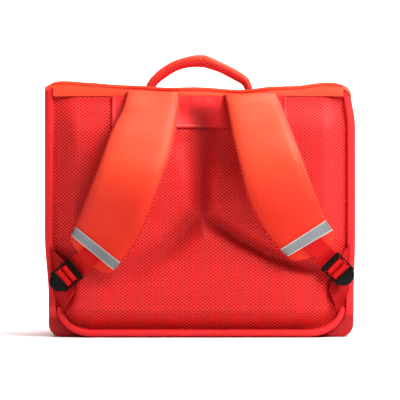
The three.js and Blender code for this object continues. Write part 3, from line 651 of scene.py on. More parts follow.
def painted(name, paint, **values):
    """A new material, painted over the piece's flat layout and its place in the object."""
    material = bpy.data.materials.new(name)
    material.use_nodes = True
    tree = material.node_tree
    layout = tree.nodes.new("ShaderNodeUVMap")
    layout.uv_map = "surface"
    place = tree.nodes.new("ShaderNodeTexCoord").outputs["Object"]
    shader = tree.nodes["Principled BSDF"]
    for label, value in paint(layout.outputs["UV"], place, **values).items():
        feed(shader.inputs[label.replace("_", " ")], value)
    return material


def painted_recess_shade(colour, dark, amount, power):
    """A colour with painted shade: darker where a point attribute marks a recessed or tucked-away spot."""
    recess_shade = colour.id_data.nodes.new("ShaderNodeAttribute")
    recess_shade.attribute_name = "recess_shade"
    share = maths("POWER", recess_shade.outputs["Fac"], power)
    return blend_colours(maths("MULTIPLY", share, amount), colour, dark)


def worn(place, scale, amount, bright, deep):
    """Clouds of wear between two tones, and how rubbed each spot is."""
    wear = use_group("surface_wear", Vector=place, Scale=scale, Amount=amount)
    return blend_colours(wear["Tone"], bright, deep), wear["Rub"]


def mesh_red(flat, place):
    """Red yarn around dark holes, with painted shade in the channels where the padding dips in."""
    lattice = use_group("mesh_lattice", Vector=flat, Hole_Size=0.28)
    base, _ = worn(place, 14.0, 0.35, (0.72, 0.034, 0.033, 1), (0.63, 0.026, 0.025, 1))
    colour = blend_colours(lattice["Hole"], base, (0.34, 0.006, 0.006, 1))
    return dict(
        # Painted shade in the channels
        Base_Color=painted_recess_shade(colour, (0.24, 0.001, 0.001, 1), 0.6, 1.2),
        Roughness=spread(lattice["Hole"], 0.0, 1.0, 0.62, 0.95),
        Normal=bump(lattice["Height"], 0.0007, 0.8),
        Specular_IOR_Level=0.55,
        Sheen_Weight=0.06,
        Sheen_Roughness=0.5,
        Sheen_Tint=(1.0, 0.55, 0.5, 1),
    )


def smooth_red(flat, place, bright, deep, gloss=0.5, faded=None):
    weave = use_group("cloth_weave", Vector=flat, Thread=0.0007)
    base, rub = worn(place, 16.0, 0.4, bright, deep)
    # Painted light: above a height the colour turns lighter and hazier, as where the upper strap faces the
    # light
    if faded:
        base = blend_colours(spread(parts_of(place)[2], *LIT_TOP_FROM_TO), base, faded)
    base = blend_colours(maths("MULTIPLY", weave["Slub"], 0.25), base, deep)
    creases = bump(noise(place, 42.0, 3.0, 0.6), 0.0009, 0.55)
    return dict(
        # Painted shade where a recess is marked: the patch over the channels and the low corners of the
        # bound seams
        Base_Color=painted_recess_shade(base, (0.22, 0.001, 0.002, 1), 0.85, 2.6),
        Roughness=spread(rub, 0.0, 1.0, 0.56, 0.68),
        Normal=bump(weave["Height"], 0.00012, 0.6, Normal=creases),
        Specular_IOR_Level=gloss,
        Sheen_Weight=0.05,
        Sheen_Roughness=0.4,
        Sheen_Tint=(1.0, 0.6, 0.55, 1),
    )


def webbing_red(flat, place):
    """Red ribs, darker between them and even along the selvedge."""
    ribs = use_group("webbing_ribs", Vector=flat)
    base, rub = worn(place, 30.0, 0.4, (0.6, 0.01, 0.01, 1), (0.5, 0.008, 0.008, 1))
    colour = blend_colours(spread(ribs["Height"], 0.2, 0.6), (0.36, 0.004, 0.004, 1), base)
    return dict(
        Base_Color=blend_colours(ribs["Selvedge"], colour, base),
        Roughness=spread(rub, 0.0, 1.0, 0.5, 0.65),
        Normal=bump(ribs["Height"], 0.0004, 0.8),
        Specular_IOR_Level=0.3,
    )


def tape_grey(flat, place):
    """Grey tape with a paler woven rim at both long sides."""
    base, rub = worn(place, 40.0, 0.5, (0.22, 0.24, 0.25, 1), (0.16, 0.175, 0.18, 1))
    weave = use_group("cloth_weave", Vector=flat, Thread=0.0011)
    across = maths("SUBTRACT", parts_of(flat)[0], TAPE_MIDDLE * MM)
    rim = spread(maths("ABSOLUTE", across), (TAPE_MIDDLE - 1.5) * MM, (TAPE_MIDDLE - 1.0) * MM)
    return dict(
        Base_Color=blend_colours(rim, base, (0.48, 0.42, 0.4, 1)),
        Roughness=spread(rub, 0.0, 1.0, 0.32, 0.45),
        Normal=bump(weave["Height"], 0.00015, 0.6),
        Specular_IOR_Level=0.6,
        Metallic=0.25,
    )


def plastic_black(flat, place):
    base, rub = worn(place, 60.0, 0.6, (0.004, 0.004, 0.004, 1), (0.009, 0.01, 0.009, 1))
    return dict(
        Base_Color=base,
        Roughness=spread(rub, 0.0, 1.0, 0.34, 0.46),
        Normal=bump(noise(place, 2400.0), 0.00006, 0.5),
        Specular_IOR_Level=0.28,
    )


def thread_red(flat, place):
    given = {"Vector": place, "Scale": 900.0}
    twist = add_node("TexWave", given, bands_direction="DIAGONAL")["Fac"]
    colour = blend_colours(twist, (0.5, 0.012, 0.012, 1), (0.78, 0.05, 0.045, 1))
    return dict(Base_Color=colour, Roughness=0.6, Sheen_Weight=0.2)


MESH_RED = painted("spacer_mesh", mesh_red)
# Painted light: the straps' cloth, also on the flap and the piping, turns lighter and hazier above a height
STRAP_RED = painted(
    "strap_cloth",
    smooth_red,
    bright=(0.66, 0.038, 0.011, 1),
    deep=(0.58, 0.03, 0.009, 1),
    faded=(0.76, 0.085, 0.034, 1),
)
SMOOTH_RED, SOFT_RED, WING_SHADED_RED = (
    painted(name, smooth_red, bright=bright, deep=deep, gloss=gloss)
    for name, bright, deep, gloss in (
        ("smooth_cloth", (0.72, 0.05, 0.015, 1), (0.64, 0.038, 0.011, 1), 0.5),
        ("soft_cloth", (0.7, 0.026, 0.032, 1), (0.62, 0.018, 0.022, 1), 0.6),
        # Painted shade: the wings get a darker copy of the same cloth, as they lie in shade
        ("wing_cloth_shaded", (0.4, 0.007, 0.008, 1), (0.34, 0.005, 0.006, 1), 0.2),
    )
)
WEBBING_RED = painted("red_webbing", webbing_red)
TAPE_GREY = painted("grey_tape", tape_grey)
PLASTIC_BLACK = painted("black_plastic", plastic_black)
THREAD_RED = painted("red_thread", thread_red)


def dress(piece, material, *nodes):
    """One material with its slot, the one body, and the nodes that the piece stands for."""
    piece.data.materials.clear()
    piece.data.materials.append(material)
    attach(piece, "root")
    if nodes:
        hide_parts(*nodes)
    return piece


def stack(x, y, z):
    """Points from three arrays that are spread over each other."""
    return np.stack(np.broadcast_arrays(x, y, z), -1).astype(float)


def body(x, y, z):
    """Points on the bag's body, with its sides drawn in."""
    return drawn_in(stack(x, y, z))


def shares(columns, rows):
    """Two grids of shares from 0 to 1, along the columns and along the rows."""
    return np.meshgrid(np.linspace(0, 1, columns + 1), np.linspace(0, 1, rows + 1), indexing="ij")


def facing_back(path):
    """A row for stitches on cloth that faces backwards."""
    return path, np.tile([0.0, -1.0, 0.0], (len(path), 1))


# Back panel, its patch, its rim and the bound seams


TOP_LINE = table_of("across rise", TOP_EDGE)


def top_edge(x):
    """Height of the bag's top edge above the floor."""
    return BODY_HEIGHT * (1 + column(TOP_LINE, "rise", np.clip(x / HALF_WIDTH, -1, 1), "across"))


def bumper_line(share):
    """The middle of the rim, its normal and turn: straight, then a quarter of an ellipse at each side."""
    side = np.where(share < 0.5, -1.0, 1.0)
    reach = abs(share - 0.5) * 2
    straight = BUMPER_STRAIGHT
    turn = np.clip((reach - straight) / (1 - straight), 0, 1)
    angle = turn * math.pi / 2
    flat = BUMPER_FLAT * np.minimum(reach / straight, 1)
    x = side * (flat + (BUMPER_SIDE - BUMPER_FLAT) * np.sin(angle))
    z = BUMPER_HEIGHT / 2 + (BUMPER_TIP_Z - BUMPER_HEIGHT / 2) * (1 - np.cos(angle))
    return x, z, *line_normals(x, z), turn


def bumper_half(turn):
    """Half the height of the rim, which thins towards its ends."""
    return mix(BUMPER_HEIGHT, BUMPER_TIP, ease(turn)) / 2


def panel_bottom(x):
    """The panel's lower edge: the rim's upper side, never falling outwards."""
    share = np.linspace(0.5, 1, 200)
    line_x, line_z, nx, nz, turn = bumper_line(share)
    up = bumper_half(turn) + mix(GAP, CORNER_EASE, ease(turn * 4))
    low = np.maximum.accumulate(line_z + nz * up)
    low[-1] = BUMPER_TIP_Z + CORNER_EASE
    return np.interp(abs(x), line_x + nx * up, low)


def panel_top(x):
    """The panel's upper edge, hidden behind the strip."""
    return top_edge(np.clip(x, -PANEL_HALF * 0.97, PANEL_HALF * 0.97)) - FOLD_RADIUS - 1


def channel_share(x, z):
    """How deep the channels are pressed in, from 0 to 1: a bell shape across each piece of each channel."""
    share = np.zeros(np.broadcast(x, z).shape)
    for rows in CHANNELS:
        spots = np.array(rows) * (HALF_WIDTH, BODY_HEIGHT, HALF_WIDTH, 1)
        for a, b in zip(spots[:-1], spots[1:], strict=True):
            right, up = b[:2] - a[:2]
            t = np.clip(((x - a[0]) * right + (z - a[1]) * up) / (right**2 + up**2), 0, 1)
            away = np.hypot(x - a[0] - right * t, z - a[1] - up * t)
            half, depth = mix(a[2], b[2], t), mix(a[3], b[3], t)
            share = np.maximum(share, depth * bell(away, half))
    return share


def panel_rise(x, z):
    """How far the panel stands out: eased from every seam, less the channels, plus the brow."""
    side = ease((PANEL_HALF - abs(x)) / SIDE_ROLL)
    below = STRIP_LOW - GAP - z
    top = mix(ease(below / TOP_ROLL), ease((below + CROWN_ABOVE) / CROWN_OVER), CROWN_SHARE)
    low = ease((z - panel_bottom(x)) / LOW_ROLL)
    brow = bell(x, BROW["half_width"]) * bell(z - BROW["up"], BROW["half_height"])
    return PAD_RISE * side * top * low * (1 - channel_share(x, z)) + BROW["rise"] * brow


def panel_face(x, z):
    """Depth of the panel's face, with soft puckers away from its seams."""
    puckers = 0.5 * ripple(x, z, 46.0, 1.3) * ease((PANEL_HALF - abs(x)) / 12)
    return SEAM_Y - panel_rise(x, z) - puckers * ease((STRIP_LOW - z) / 20)


def panel_spot(columns, rows):
    """A grid over the panel, from under the rim to behind the strip."""
    u, v = shares(columns, rows)
    x = (PANEL_HALF + SEAM_GAP) * (2 * u - 1)
    return x, mix(panel_bottom(x) - UNDER_RIM, panel_top(x), v)


def panel_swelling():
    """The panel's swelling, from a coarse simulated face that is held at its seams and sewn channels."""
    x, z = panel_spot(*PANEL_SWELL_GRID)
    held = channel_share(x, z) > PANEL_HELD["channel"]
    held |= (abs(x) > PANEL_HALF - PANEL_HELD["side"]) | (z > STRIP_LOW - PANEL_HELD["top"])
    held[:, :2] = True
    moved = pressed_out(stack(x, panel_face(x, z), z), held, PANEL_PRESSURE, PANEL_CAP)
    return resampled(resampled(moved, PANEL_GRID[0] + 1, 0), PANEL_GRID[1] + 1, 1)


def swelling_at(x, z):
    """The swelling out of the panel in front of any point, taken from the nearest points of its grid."""
    u = (x / (PANEL_HALF + SEAM_GAP) + 1) / 2 * PANEL_GRID[0]
    low = panel_bottom(x) - UNDER_RIM
    v = (z - low) / (panel_top(x) - low) * PANEL_GRID[1]
    i, j = np.clip(u.astype(int), 0, PANEL_GRID[0] - 1), np.clip(v.astype(int), 0, PANEL_GRID[1] - 1)
    s, t = u - i, np.clip(v - j, 0, 1)
    out = SWELLING[..., 1]
    return mix(mix(out[i, j], out[i + 1, j], s), mix(out[i, j + 1], out[i + 1, j + 1], s), t)


SWELLING = panel_swelling()


def mark_painted_shade(piece, share_at):
    """Keeps how far each point of a piece is recessed or tucked away, from 0 to 1, for painted shade in its
    colour.
    """
    points = np.empty(len(piece.data.vertices) * 3, np.float32)
    piece.data.vertices.foreach_get("co", points)
    points = points.reshape(-1, 3) / MM
    recess_shade = piece.data.attributes.new("recess_shade", "FLOAT", "POINT")
    recess_shade.data.foreach_set("value", share_at(points[:, 0], points[:, 2]).astype(np.float32))


def build_panel():
    """The swollen face, dented a little at every hole of the mesh, and closed by a flat back."""
    x, z = panel_spot(*PANEL_GRID)
    holes = 0.5 + 0.5 * np.cos(2 * np.pi * x / HOLE_ACROSS) * np.cos(2 * np.pi * z / HOLE_UP)
    dimple = HOLE_DEEP * ease((holes - 0.6) / 0.4) * ease((STRIP_LOW - 1 - z) / 4)
    outer = stack(x, panel_face(x, z) + dimple, z) + SWELLING
    index, front = quads(*outer.shape[:2])
    edge = once_around(index)
    rear = outer.reshape(-1, 3)[edge].copy()
    rear[:, 1] = PANEL_REAR_Y
    hub = np.array([[0.0, PANEL_REAR_Y, BODY_HEIGHT / 2]])
    ring = np.arange(len(edge)) + index.size
    wall = np.stack([np.roll(edge, -1), edge, ring, np.roll(ring, -1)], -1)
    centre = np.full(len(ring) // 2, index.size + len(ring))
    fan = np.stack([centre, np.roll(ring[0::2], -1), ring[1::2], ring[0::2]], -1)
    points = drawn_in(np.concatenate([outer.reshape(-1, 3), rear, hub]))
    uv = np.concatenate([np.stack([x, z], -1).reshape(-1, 2), rear[:, [0, 2]], hub[:, [0, 2]]])
    faces = np.concatenate([front, wall, fan])
    piece = cloth_piece("back_mesh_panel", points, faces, uv, MESH_RED, 60)
    # The channels' depth sets the painted shade in the mesh's colour
    mark_painted_shade(piece, channel_share)


def build_patch():
    """The patch follows the panel, with a raised rolled hem at both sides and its lower edge."""
    u, v = shares(220, 60)
    x = PATCH_WIDTH * (u - PATCH_MIDDLE)
    z = STRIP_LOW - GAP - PATCH_HEIGHT * (1 - v)
    rim = np.minimum(np.minimum(u, 1 - u) * PATCH_WIDTH, v * PATCH_HEIGHT)
    hem = PATCH_HEM["rise"] * bell(rim - PATCH_HEM["at"], PATCH_HEM["wide"])
    puckers = 0.35 * ripple(x, z, 18.0, 0.7) * ease(rim / 6)
    lift = PATCH_LIFT + PATCH_THICK + hem + puckers
    base = panel_face(x, z) + swelling_at(x, z)
    outer, inner = body(x, base - lift, z), body(x, base - 0.5, z)
    piece = slab("yoke_patch", outer, inner, SOFT_RED, np.stack([x, z], -1), 60)
    # The channels' depth also sets painted shade on the patch
    mark_painted_shade(piece, channel_share)


def build_bumper():
    """The rim: a rounded section that thins towards both ends, with faint cross creases."""
    share = np.linspace(0, 1, 261)
    x, z, nx, nz, turn = bumper_line(share)
    half = bumper_half(turn)[:, None]
    deep = (mix(BUMPER_DEPTH, BINDING_DEPTH, ease(turn)) / 2)[:, None]
    angle = np.linspace(0, 2 * math.pi, 33)[None, :-1]
    up, back = (a * np.sign(b) * abs(b) ** 0.8 for a, b in ((half, np.sin(angle)), (deep, np.cos(angle))))
    crease = 1 - 0.012 * (1 + ripple(x[:, None], angle * 12, 23.0, 2.1))
    up, back = up * crease, back * crease
    x, z, nx, nz = (a[:, None] for a in (x, z, nx, nz))
    rings = stack(x + nx * up, PANEL_REAR_Y - deep + back, z + nz * up)
    bar("bottom_bumper", drawn_in(rings), SOFT_RED)


def binding_edges(share):
    """Both edges of the band: straight down, then outside round the corner and inside along the rim."""
    top = top_edge(HALF_WIDTH) - FOLD_RADIUS - GAP
    down = mix(top, BUMPER_TIP_Z, np.minimum(share / BINDING_TURN, 1))
    low = np.clip((share - BINDING_TURN) / (1 - BINDING_TURN), 0, 1)
    straight = BUMPER_TIP_Z - CORNER_RADIUS
    bend = CORNER_RADIUS * math.pi / 2
    run = low * (straight + bend + CORNER_RADIUS * 0.75)
    angle = np.clip((run - straight) / CORNER_RADIUS, 0, math.pi / 2)
    outer_x = HALF_WIDTH - CORNER_RADIUS * (1 - np.cos(angle)) - np.maximum(0, run - straight - bend)
    outer_z = np.maximum(BUMPER_TIP_Z - run, CORNER_RADIUS) - CORNER_RADIUS * np.sin(angle)
    line_x, line_z, nx, nz, turn = bumper_line(np.linspace(0.5, 1, 400))
    off = bumper_half(turn) + GAP
    at = mix(1, BINDING_END_TURN, low)
    inner_x = np.interp(at, turn, line_x - nx * off)
    inner_z = np.interp(at, turn, line_z - nz * off)
    high = share <= BINDING_TURN
    inner_x = np.where(high, HALF_WIDTH - BINDING_WIDTH, inner_x)
    return outer_x, np.where(high, down, outer_z), inner_x, np.where(high, down, inner_z)


def build_binding(side, name):
    """A bound seam: a flat band with round edges and a shallow stitched groove near its outer side."""
    share = np.linspace(0, 1, 220)[:, None]
    outer_x, outer_z, inner_x, inner_z = binding_edges(share)
    wide, deep = (np.array(row)[None] for row in BINDING_SECTION)
    z = mix(inner_z, outer_z, wide)
    chord = mix(top_edge(side * (HALF_WIDTH - BINDING_WIDTH)), top_edge(side * HALF_WIDTH), wide)
    z = z + (chord - top_edge(HALF_WIDTH)) * np.clip(1 - share / TOP_SHARE, 0, 1)
    wave = 0.25 * ripple(z, z * 0, 31.0, 0.4) * (deep < 0)
    deep = mix(deep, 1, BINDING_RECESS * ease((share - BINDING_TURN) / (1 - BINDING_TURN) * 3))
    y = BACK_Y + BINDING_DEPTH / 2 * (1 + deep) + 0.2 + wave
    piece = bar(f"side_binding_{name}", body(side * mix(inner_x, outer_x, wide), y, z), SOFT_RED)
    # Painted shade at the low corner, where the seam is tucked behind the rim
    mark_painted_shade(piece, lambda _, z: 0.85 * ease((BUMPER_TIP_Z - z) / CORNER_RADIUS))
    outer_x, outer_z, inner_x, inner_z = binding_edges(np.linspace(0.01, BINDING_TURN, 220))
    x = side * mix(inner_x, outer_x, STITCH_SHARE)
    path = stack(x, np.full(len(x), BACK_Y + 0.5), mix(inner_z, outer_z, STITCH_SHARE))
    return facing_back(drawn_in(path))


# Walls of the body and the flap


def gusset_path(share, inset):
    """The wall seen from the back: base, a round corner and a side; and how free it is to bulge."""
    side = np.where(share < 0.5, -1.0, 1.0)
    reach = abs(share - 0.5) * 2
    base, turn = 0.35, 0.5
    outer = CORNER_RADIUS - inset
    angle = np.clip((reach - base) / (turn - base), 0, 1) * math.pi / 2
    up = np.clip((reach - turn) / (1 - turn), 0, 1)
    flat = (HALF_WIDTH - CORNER_RADIUS) * np.minimum(reach / base, 1)
    x = side * (flat + outer * np.sin(angle))
    low = CORNER_RADIUS - outer * np.cos(angle)
    top = top_edge(side * HALF_WIDTH) - CLOTH - GAP * 2
    z = np.where(reach > turn, mix(CORNER_RADIUS, top, up), low)
    return x, z, np.sin(up * math.pi * 0.9)


def build_gusset():
    """The side and base wall: it bulges a little at mid depth and ripples softly between the seams."""
    u, v = shares(300, 60)

    def face(inset):
        x, z, swell = gusset_path(u, inset)
        y = mix(PANEL_REAR_Y + GAP, BASE_FRONT_Y, v)
        between = np.sin(v * math.pi)
        push = 1.5 * swell * between - 0.45 * (1 + ripple(y, z, 70.0, 1.9)) * between * swell
        return body(x + np.sign(x) * push, y, z)

    piece = slab("gusset", face(0), face(CLOTH), SMOOTH_RED)


def build_front():
    """The front wall: flat at its edges, and pushed out very slightly in the middle."""
    u, v = shares(120, 100)
    x = HALF_WIDTH * np.sin((u - 0.5) * math.pi)
    past = np.maximum(0, abs(x) - (HALF_WIDTH - CORNER_RADIUS))
    low = CORNER_RADIUS - np.sqrt(np.maximum(0, CORNER_RADIUS**2 - past**2))
    high = min(top_edge(HALF_WIDTH), top_edge(HALF_WIDTH * 0.26)) - FOLD_RADIUS
    z = mix(low, high, v)
    y = BASE_FRONT_Y + GAP
    swell = 0.25 * (1 + ripple(x, z, 90.0, 0.6)) * np.sin(v * math.pi) * np.cos((u - 0.5) * math.pi)
    outer, inner = body(x, y + CLOTH - swell, z), body(x, y - swell, z)
    piece = slab("front_panel", outer, inner, SMOOTH_RED)


def flap_bottom(x):
    """The flap's lower edge, straight with round corners."""
    past = np.maximum(0, abs(x) - (HALF_WIDTH - FLAP_CORNER))
    return FLAP_END + FLAP_CORNER - np.sqrt(np.maximum(0, FLAP_CORNER**2 - past**2))


def build_flap():
    """The flap: up the strip, a quarter turn, flat over the top, a quarter turn, down the front."""
    half = PANEL_HALF + SEAM_GAP - GAP / 2
    side = np.linspace(half + GAP / 2, HALF_WIDTH, 8)
    x = np.concatenate([-side[::-1], np.linspace(-half, half, 185), side])[:, None]
    quarter = np.linspace(0, math.pi / 2, 9)[None, 1:]
    centre = top_edge(x) - FOLD_RADIUS
    strip_low = np.where(abs(x) > half, centre - GAP, STRIP_LOW)

    def face(inset):
        radius = FOLD_RADIUS - inset
        rise = np.linspace(0, 1, 13)[None]
        lean = STRIP_LEAN * (1 - rise**2) * (strip_low < centre - 2 * GAP)
        strip = stack(x, BACK_Y + inset - lean, mix(strip_low, centre, rise))
        fold = stack(x, BACK_Y + FOLD_RADIUS - radius * np.cos(quarter), centre + radius * np.sin(quarter))
        over = np.linspace(0, 1, 41)[None, 1:]
        sag = 1.3 * np.sin(over * math.pi) * (1 + 0.6 * ripple(x, over * 150, 110.0, 1.1))
        top = stack(x, mix(BACK_Y + FOLD_RADIUS, FRONT_Y - FOLD_RADIUS, over), centre + radius - sag * 0.6)
        turn = stack(x, FRONT_Y - FOLD_RADIUS + radius * np.sin(quarter), centre + radius * np.cos(quarter))
        down = np.linspace(0, 1, 61)[None, 1:]
        low = mix(centre, flap_bottom(x), down)
        drape = 0.5 * ripple(x, low, 95.0, 2.7) * np.sin(down * math.pi) - 0.5 * np.sin(down * math.pi)
        front = stack(x, FRONT_Y - inset + drape, low)
        return drawn_in(np.concatenate([strip, fold, top, turn, front], axis=1))

    piece = slab("flap", face(0), face(CLOTH), STRAP_RED, None, 70)


def build_piping():
    """The rolled fold along the top edge: an oval section with small puckers where the seam gathers it."""
    x = np.linspace(-1, 1, 401)[:, None] * (HALF_WIDTH - BINDING_WIDTH)
    angle = np.linspace(0, 2 * math.pi, 17)[None, :-1]
    thinner = 0.5 * ease((abs(x) / HALF_WIDTH - 0.9) / 0.05)
    size = 1 - 0.07 * (1 + ripple(x, angle * 2, 9.0, 0.9)) - thinner
    high, deep = PIPING_HEIGHT / 2, PIPING_DEPTH / 5
    z = top_edge(x) - high + 0.4 + high * size * np.sin(angle)
    y = BACK_Y + GAP + deep * size * np.cos(angle)
    bar("top_piping", body(x, y, z), STRAP_RED, 80)


# Handle


def build_handle():
    """Two half-round bows over one path: the smooth cover outside, the mesh inside, with a seam between."""
    share = np.linspace(0, 1, 141)
    foot = mix(top_edge(-HANDLE_SPAN / 2), top_edge(HANDLE_SPAN / 2), share)
    table = table_of("across rise thick", HANDLE)
    x = column(table, "across", share) * HANDLE_SPAN
    z = foot + column(table, "rise", share) * HANDLE_RISE
    half = (column(table, "thick", share) * HANDLE_THICK / 2)[:, None]
    nx, nz = (a[:, None] for a in line_normals(x, z))
    angle = np.linspace(0, math.pi, 15)[None]
    for name, outward_side, material in (("handle_cover", 1, SMOOTH_RED), ("handle_mesh", -1, MESH_RED)):
        cut = HANDLE_CUT["depth"] * bell(x[:, None] - HANDLE_CUT["at"], HANDLE_CUT["wide"])
        folds = 1 - cut * (outward_side > 0)
        puff = folds * (1 - 0.012 * (1 + ripple(x[:, None], angle * 10, 15.0, 1.5)))
        high = outward_side * (GAP / 2 + (half - GAP / 2) * np.sin(angle) ** HANDLE_SQUARE * puff)
        wide = HANDLE_WIDTH / 2 * np.cos(angle) * puff
        ring_x = x[:, None] + nx * high
        ring_z = z[:, None] + nz * high
        ring_z[[0, -1]] = top_edge(ring_x[[0, -1]]) + FOOT_LIFT
        rings = stack(ring_x, BACK_Y + HANDLE_WIDTH / 2 + wide, ring_z)
        closing = rings[:, [-1]] * 0.5 + rings[:, [0]] * 0.5
        bar(name, np.concatenate([rings, closing], axis=1), material, 60)
    path = stack(x + nx[:, 0] * 1.1, BACK_Y + 0.35, z + nz[:, 0] * 1.1)
    return [facing_back(path[6:-6])]


# Straps, tape, webbing, buckles and wings


def strap_spot(table, t, v):
    """The strap's underside at share t along and v across, from -1 to 1; its end is rounded."""
    past = np.maximum(0, (t - PAD_TAPER_FROM) / (1 - PAD_TAPER_FROM))
    wide = 1 - (1 - PAD_END_SHARE) * (1 - np.sqrt(np.maximum(0, 1 - past**2)))
    share = 0.5 + v * wide / 2
    x = mix(column(table, "outer", t), column(table, "inner", t), share) * HALF_WIDTH
    z = mix(column(table, "outer_up", t), column(table, "inner_up", t), share) * BODY_HEIGHT
    return x, z, SEAM_Y - column(table, "out", t) * STRAP_OUT


def strap_steep(table, t):
    """How much thicker the strap is in depth where it runs steeply out of the picture."""
    xa, za, ya = strap_spot(table, np.maximum(0, t - 0.02), 0)
    xb, zb, yb = strap_spot(table, np.minimum(1, t + 0.02), 0)
    return np.hypot(1, (yb - ya) / np.hypot(xb - xa, zb - za))


def pad_thick(table, t, v):
    """Thickness of the pad: thinner at both ends, rounded at its edges."""
    whole = mix(PAD_THICK, PAD_END_THICK, ease((t - 0.6) / 0.4)) * mix(0.55, 1, ease(t / 0.12))
    return whole * (0.3 + 0.7 * np.sqrt(np.maximum(0, 1 - abs(v) ** 5))) * strap_steep(table, t)


def pad_face(table, t, v):
    """The outer face of the pad, over its lining."""
    x, z, under = strap_spot(table, t, v)
    y = under - LINING_THICK * strap_steep(table, t) - PAD_LIFT - pad_thick(table, t, v)
    return x, y, z


def face_in_front(table, x, z):
    """Depth of the pad's face straight in front of each point: Newton's method on its two shares."""
    t = np.full(x.shape, 0.9)
    v = np.zeros(x.shape)
    step = 0.001
    for _ in range(20):
        here = pad_face(table, t, v)
        down = pad_face(table, t - step, v)
        over = pad_face(table, t, v - step)
        a, b = (here[0] - down[0]) / step, (here[0] - over[0]) / step
        c, d = (here[2] - down[2]) / step, (here[2] - over[2]) / step
        det = a * d - b * c
        dx, dz = x - here[0], z - here[2]
        t = np.clip(t + (d * dx - b * dz) / det, 0.02, 0.995)
        v = np.clip(v + (a * dz - c * dx) / det, -0.98, 0.98)
    return pad_face(table, t, v)[1]


def strap_swelling(table, shape):
    """A strap's swelling: its cover is held along both stitched edges, at its top and under the tape."""
    t, v = shares(*STRAP_SWELL_GRID)
    w = 2 * v - 1
    held = (abs(w) > STRAP_HELD) | (t < 0.03) | (t > TAPE_FROM - 0.02)
    moved = pressed_out(stack(*pad_face(table, t, w)), held, STRAP_PRESSURE, STRAP_CAP)
    return resampled(resampled(moved, shape[0], 0), shape[1], 1)


def build_strap(name):
    """A shoulder strap: smooth padded cover over a mesh lining that shows as a rim along both edges."""
    table = table_of(STRAP_COLUMNS, STRAPS[name])
    t, v = shares(200, 48)
    w = 2 * v - 1
    x, y, z = pad_face(table, t, w)
    ridge = 0.24 * bell(abs(w) - STRAP_HELD, 0.05)
    folds = 0.28 * ripple(x, z, 38.0, 2.2) * (1 - w**4)
    cover = stack(x, y + folds + ridge, z) + strap_swelling(table, t.shape)
    _, _, under = strap_spot(table, t, w)
    rear = stack(x, under - LINING_THICK * strap_steep(table, t) - PAD_LIFT, z)
    flat = np.stack([lengths(cover, 0), w * BODY_WIDTH * PAD_HALF_SHARE], -1)
    slab(f"strap_pad_{name}", cover, rear, STRAP_RED, flat, 60)

    reach = 1 + 2 * LINING_RIM / (HALF_WIDTH * STRAP_SHARE)
    t, v = shares(200, 60)
    w = (2 * v - 1) * reach
    x, z, under = strap_spot(table, t, w)
    thick = LINING_THICK * strap_steep(table, t) * np.sqrt(np.maximum(0.12, 1 - (abs(w) / reach) ** 24))
    top = under - LINING_THICK * strap_steep(table, t) / 2
    outer, inner = stack(x, top - thick / 2, z), stack(x, top + thick / 2, z)
    flat = np.stack([w * BODY_WIDTH * PAD_HALF_SHARE, lengths(outer, 0)], -1)
    slab(f"strap_lining_{name}", outer, inner, MESH_RED, flat, 60)

    u, v = shares(12, 90)
    t, w = mix(TAPE_FROM, TAPE_TO, u), mix(-0.99, 0.99, v)
    x, y, z = pad_face(table, t, w)
    outer = stack(x, y - GAP - TAPE_THICK, z)
    run = lengths(outer, 0)
    flat = np.stack([run / run[-1, 0] * TAPE_MIDDLE * 2, lengths(outer, 1)], -1)
    piece = slab(f"reflective_tape_{name}", outer, stack(x, y - GAP * 0.5, z), TAPE_GREY, flat)

    rows = []
    for edge in (-0.9, 0.9):
        line = np.linspace(0.02, 0.735, 220)
        x, y, z = pad_face(table, line, np.full(line.shape, edge))
        path = stack(x, y - 0.05, z)
        across = stack(*pad_face(table, line, np.full(line.shape, edge + 0.02))) - path
        normal = np.cross(np.gradient(path, axis=0), across)
        normal *= -np.sign(normal[:, [1]])
        rows.append((path, normal / np.linalg.norm(normal, axis=1, keepdims=True)))
    return table, rows


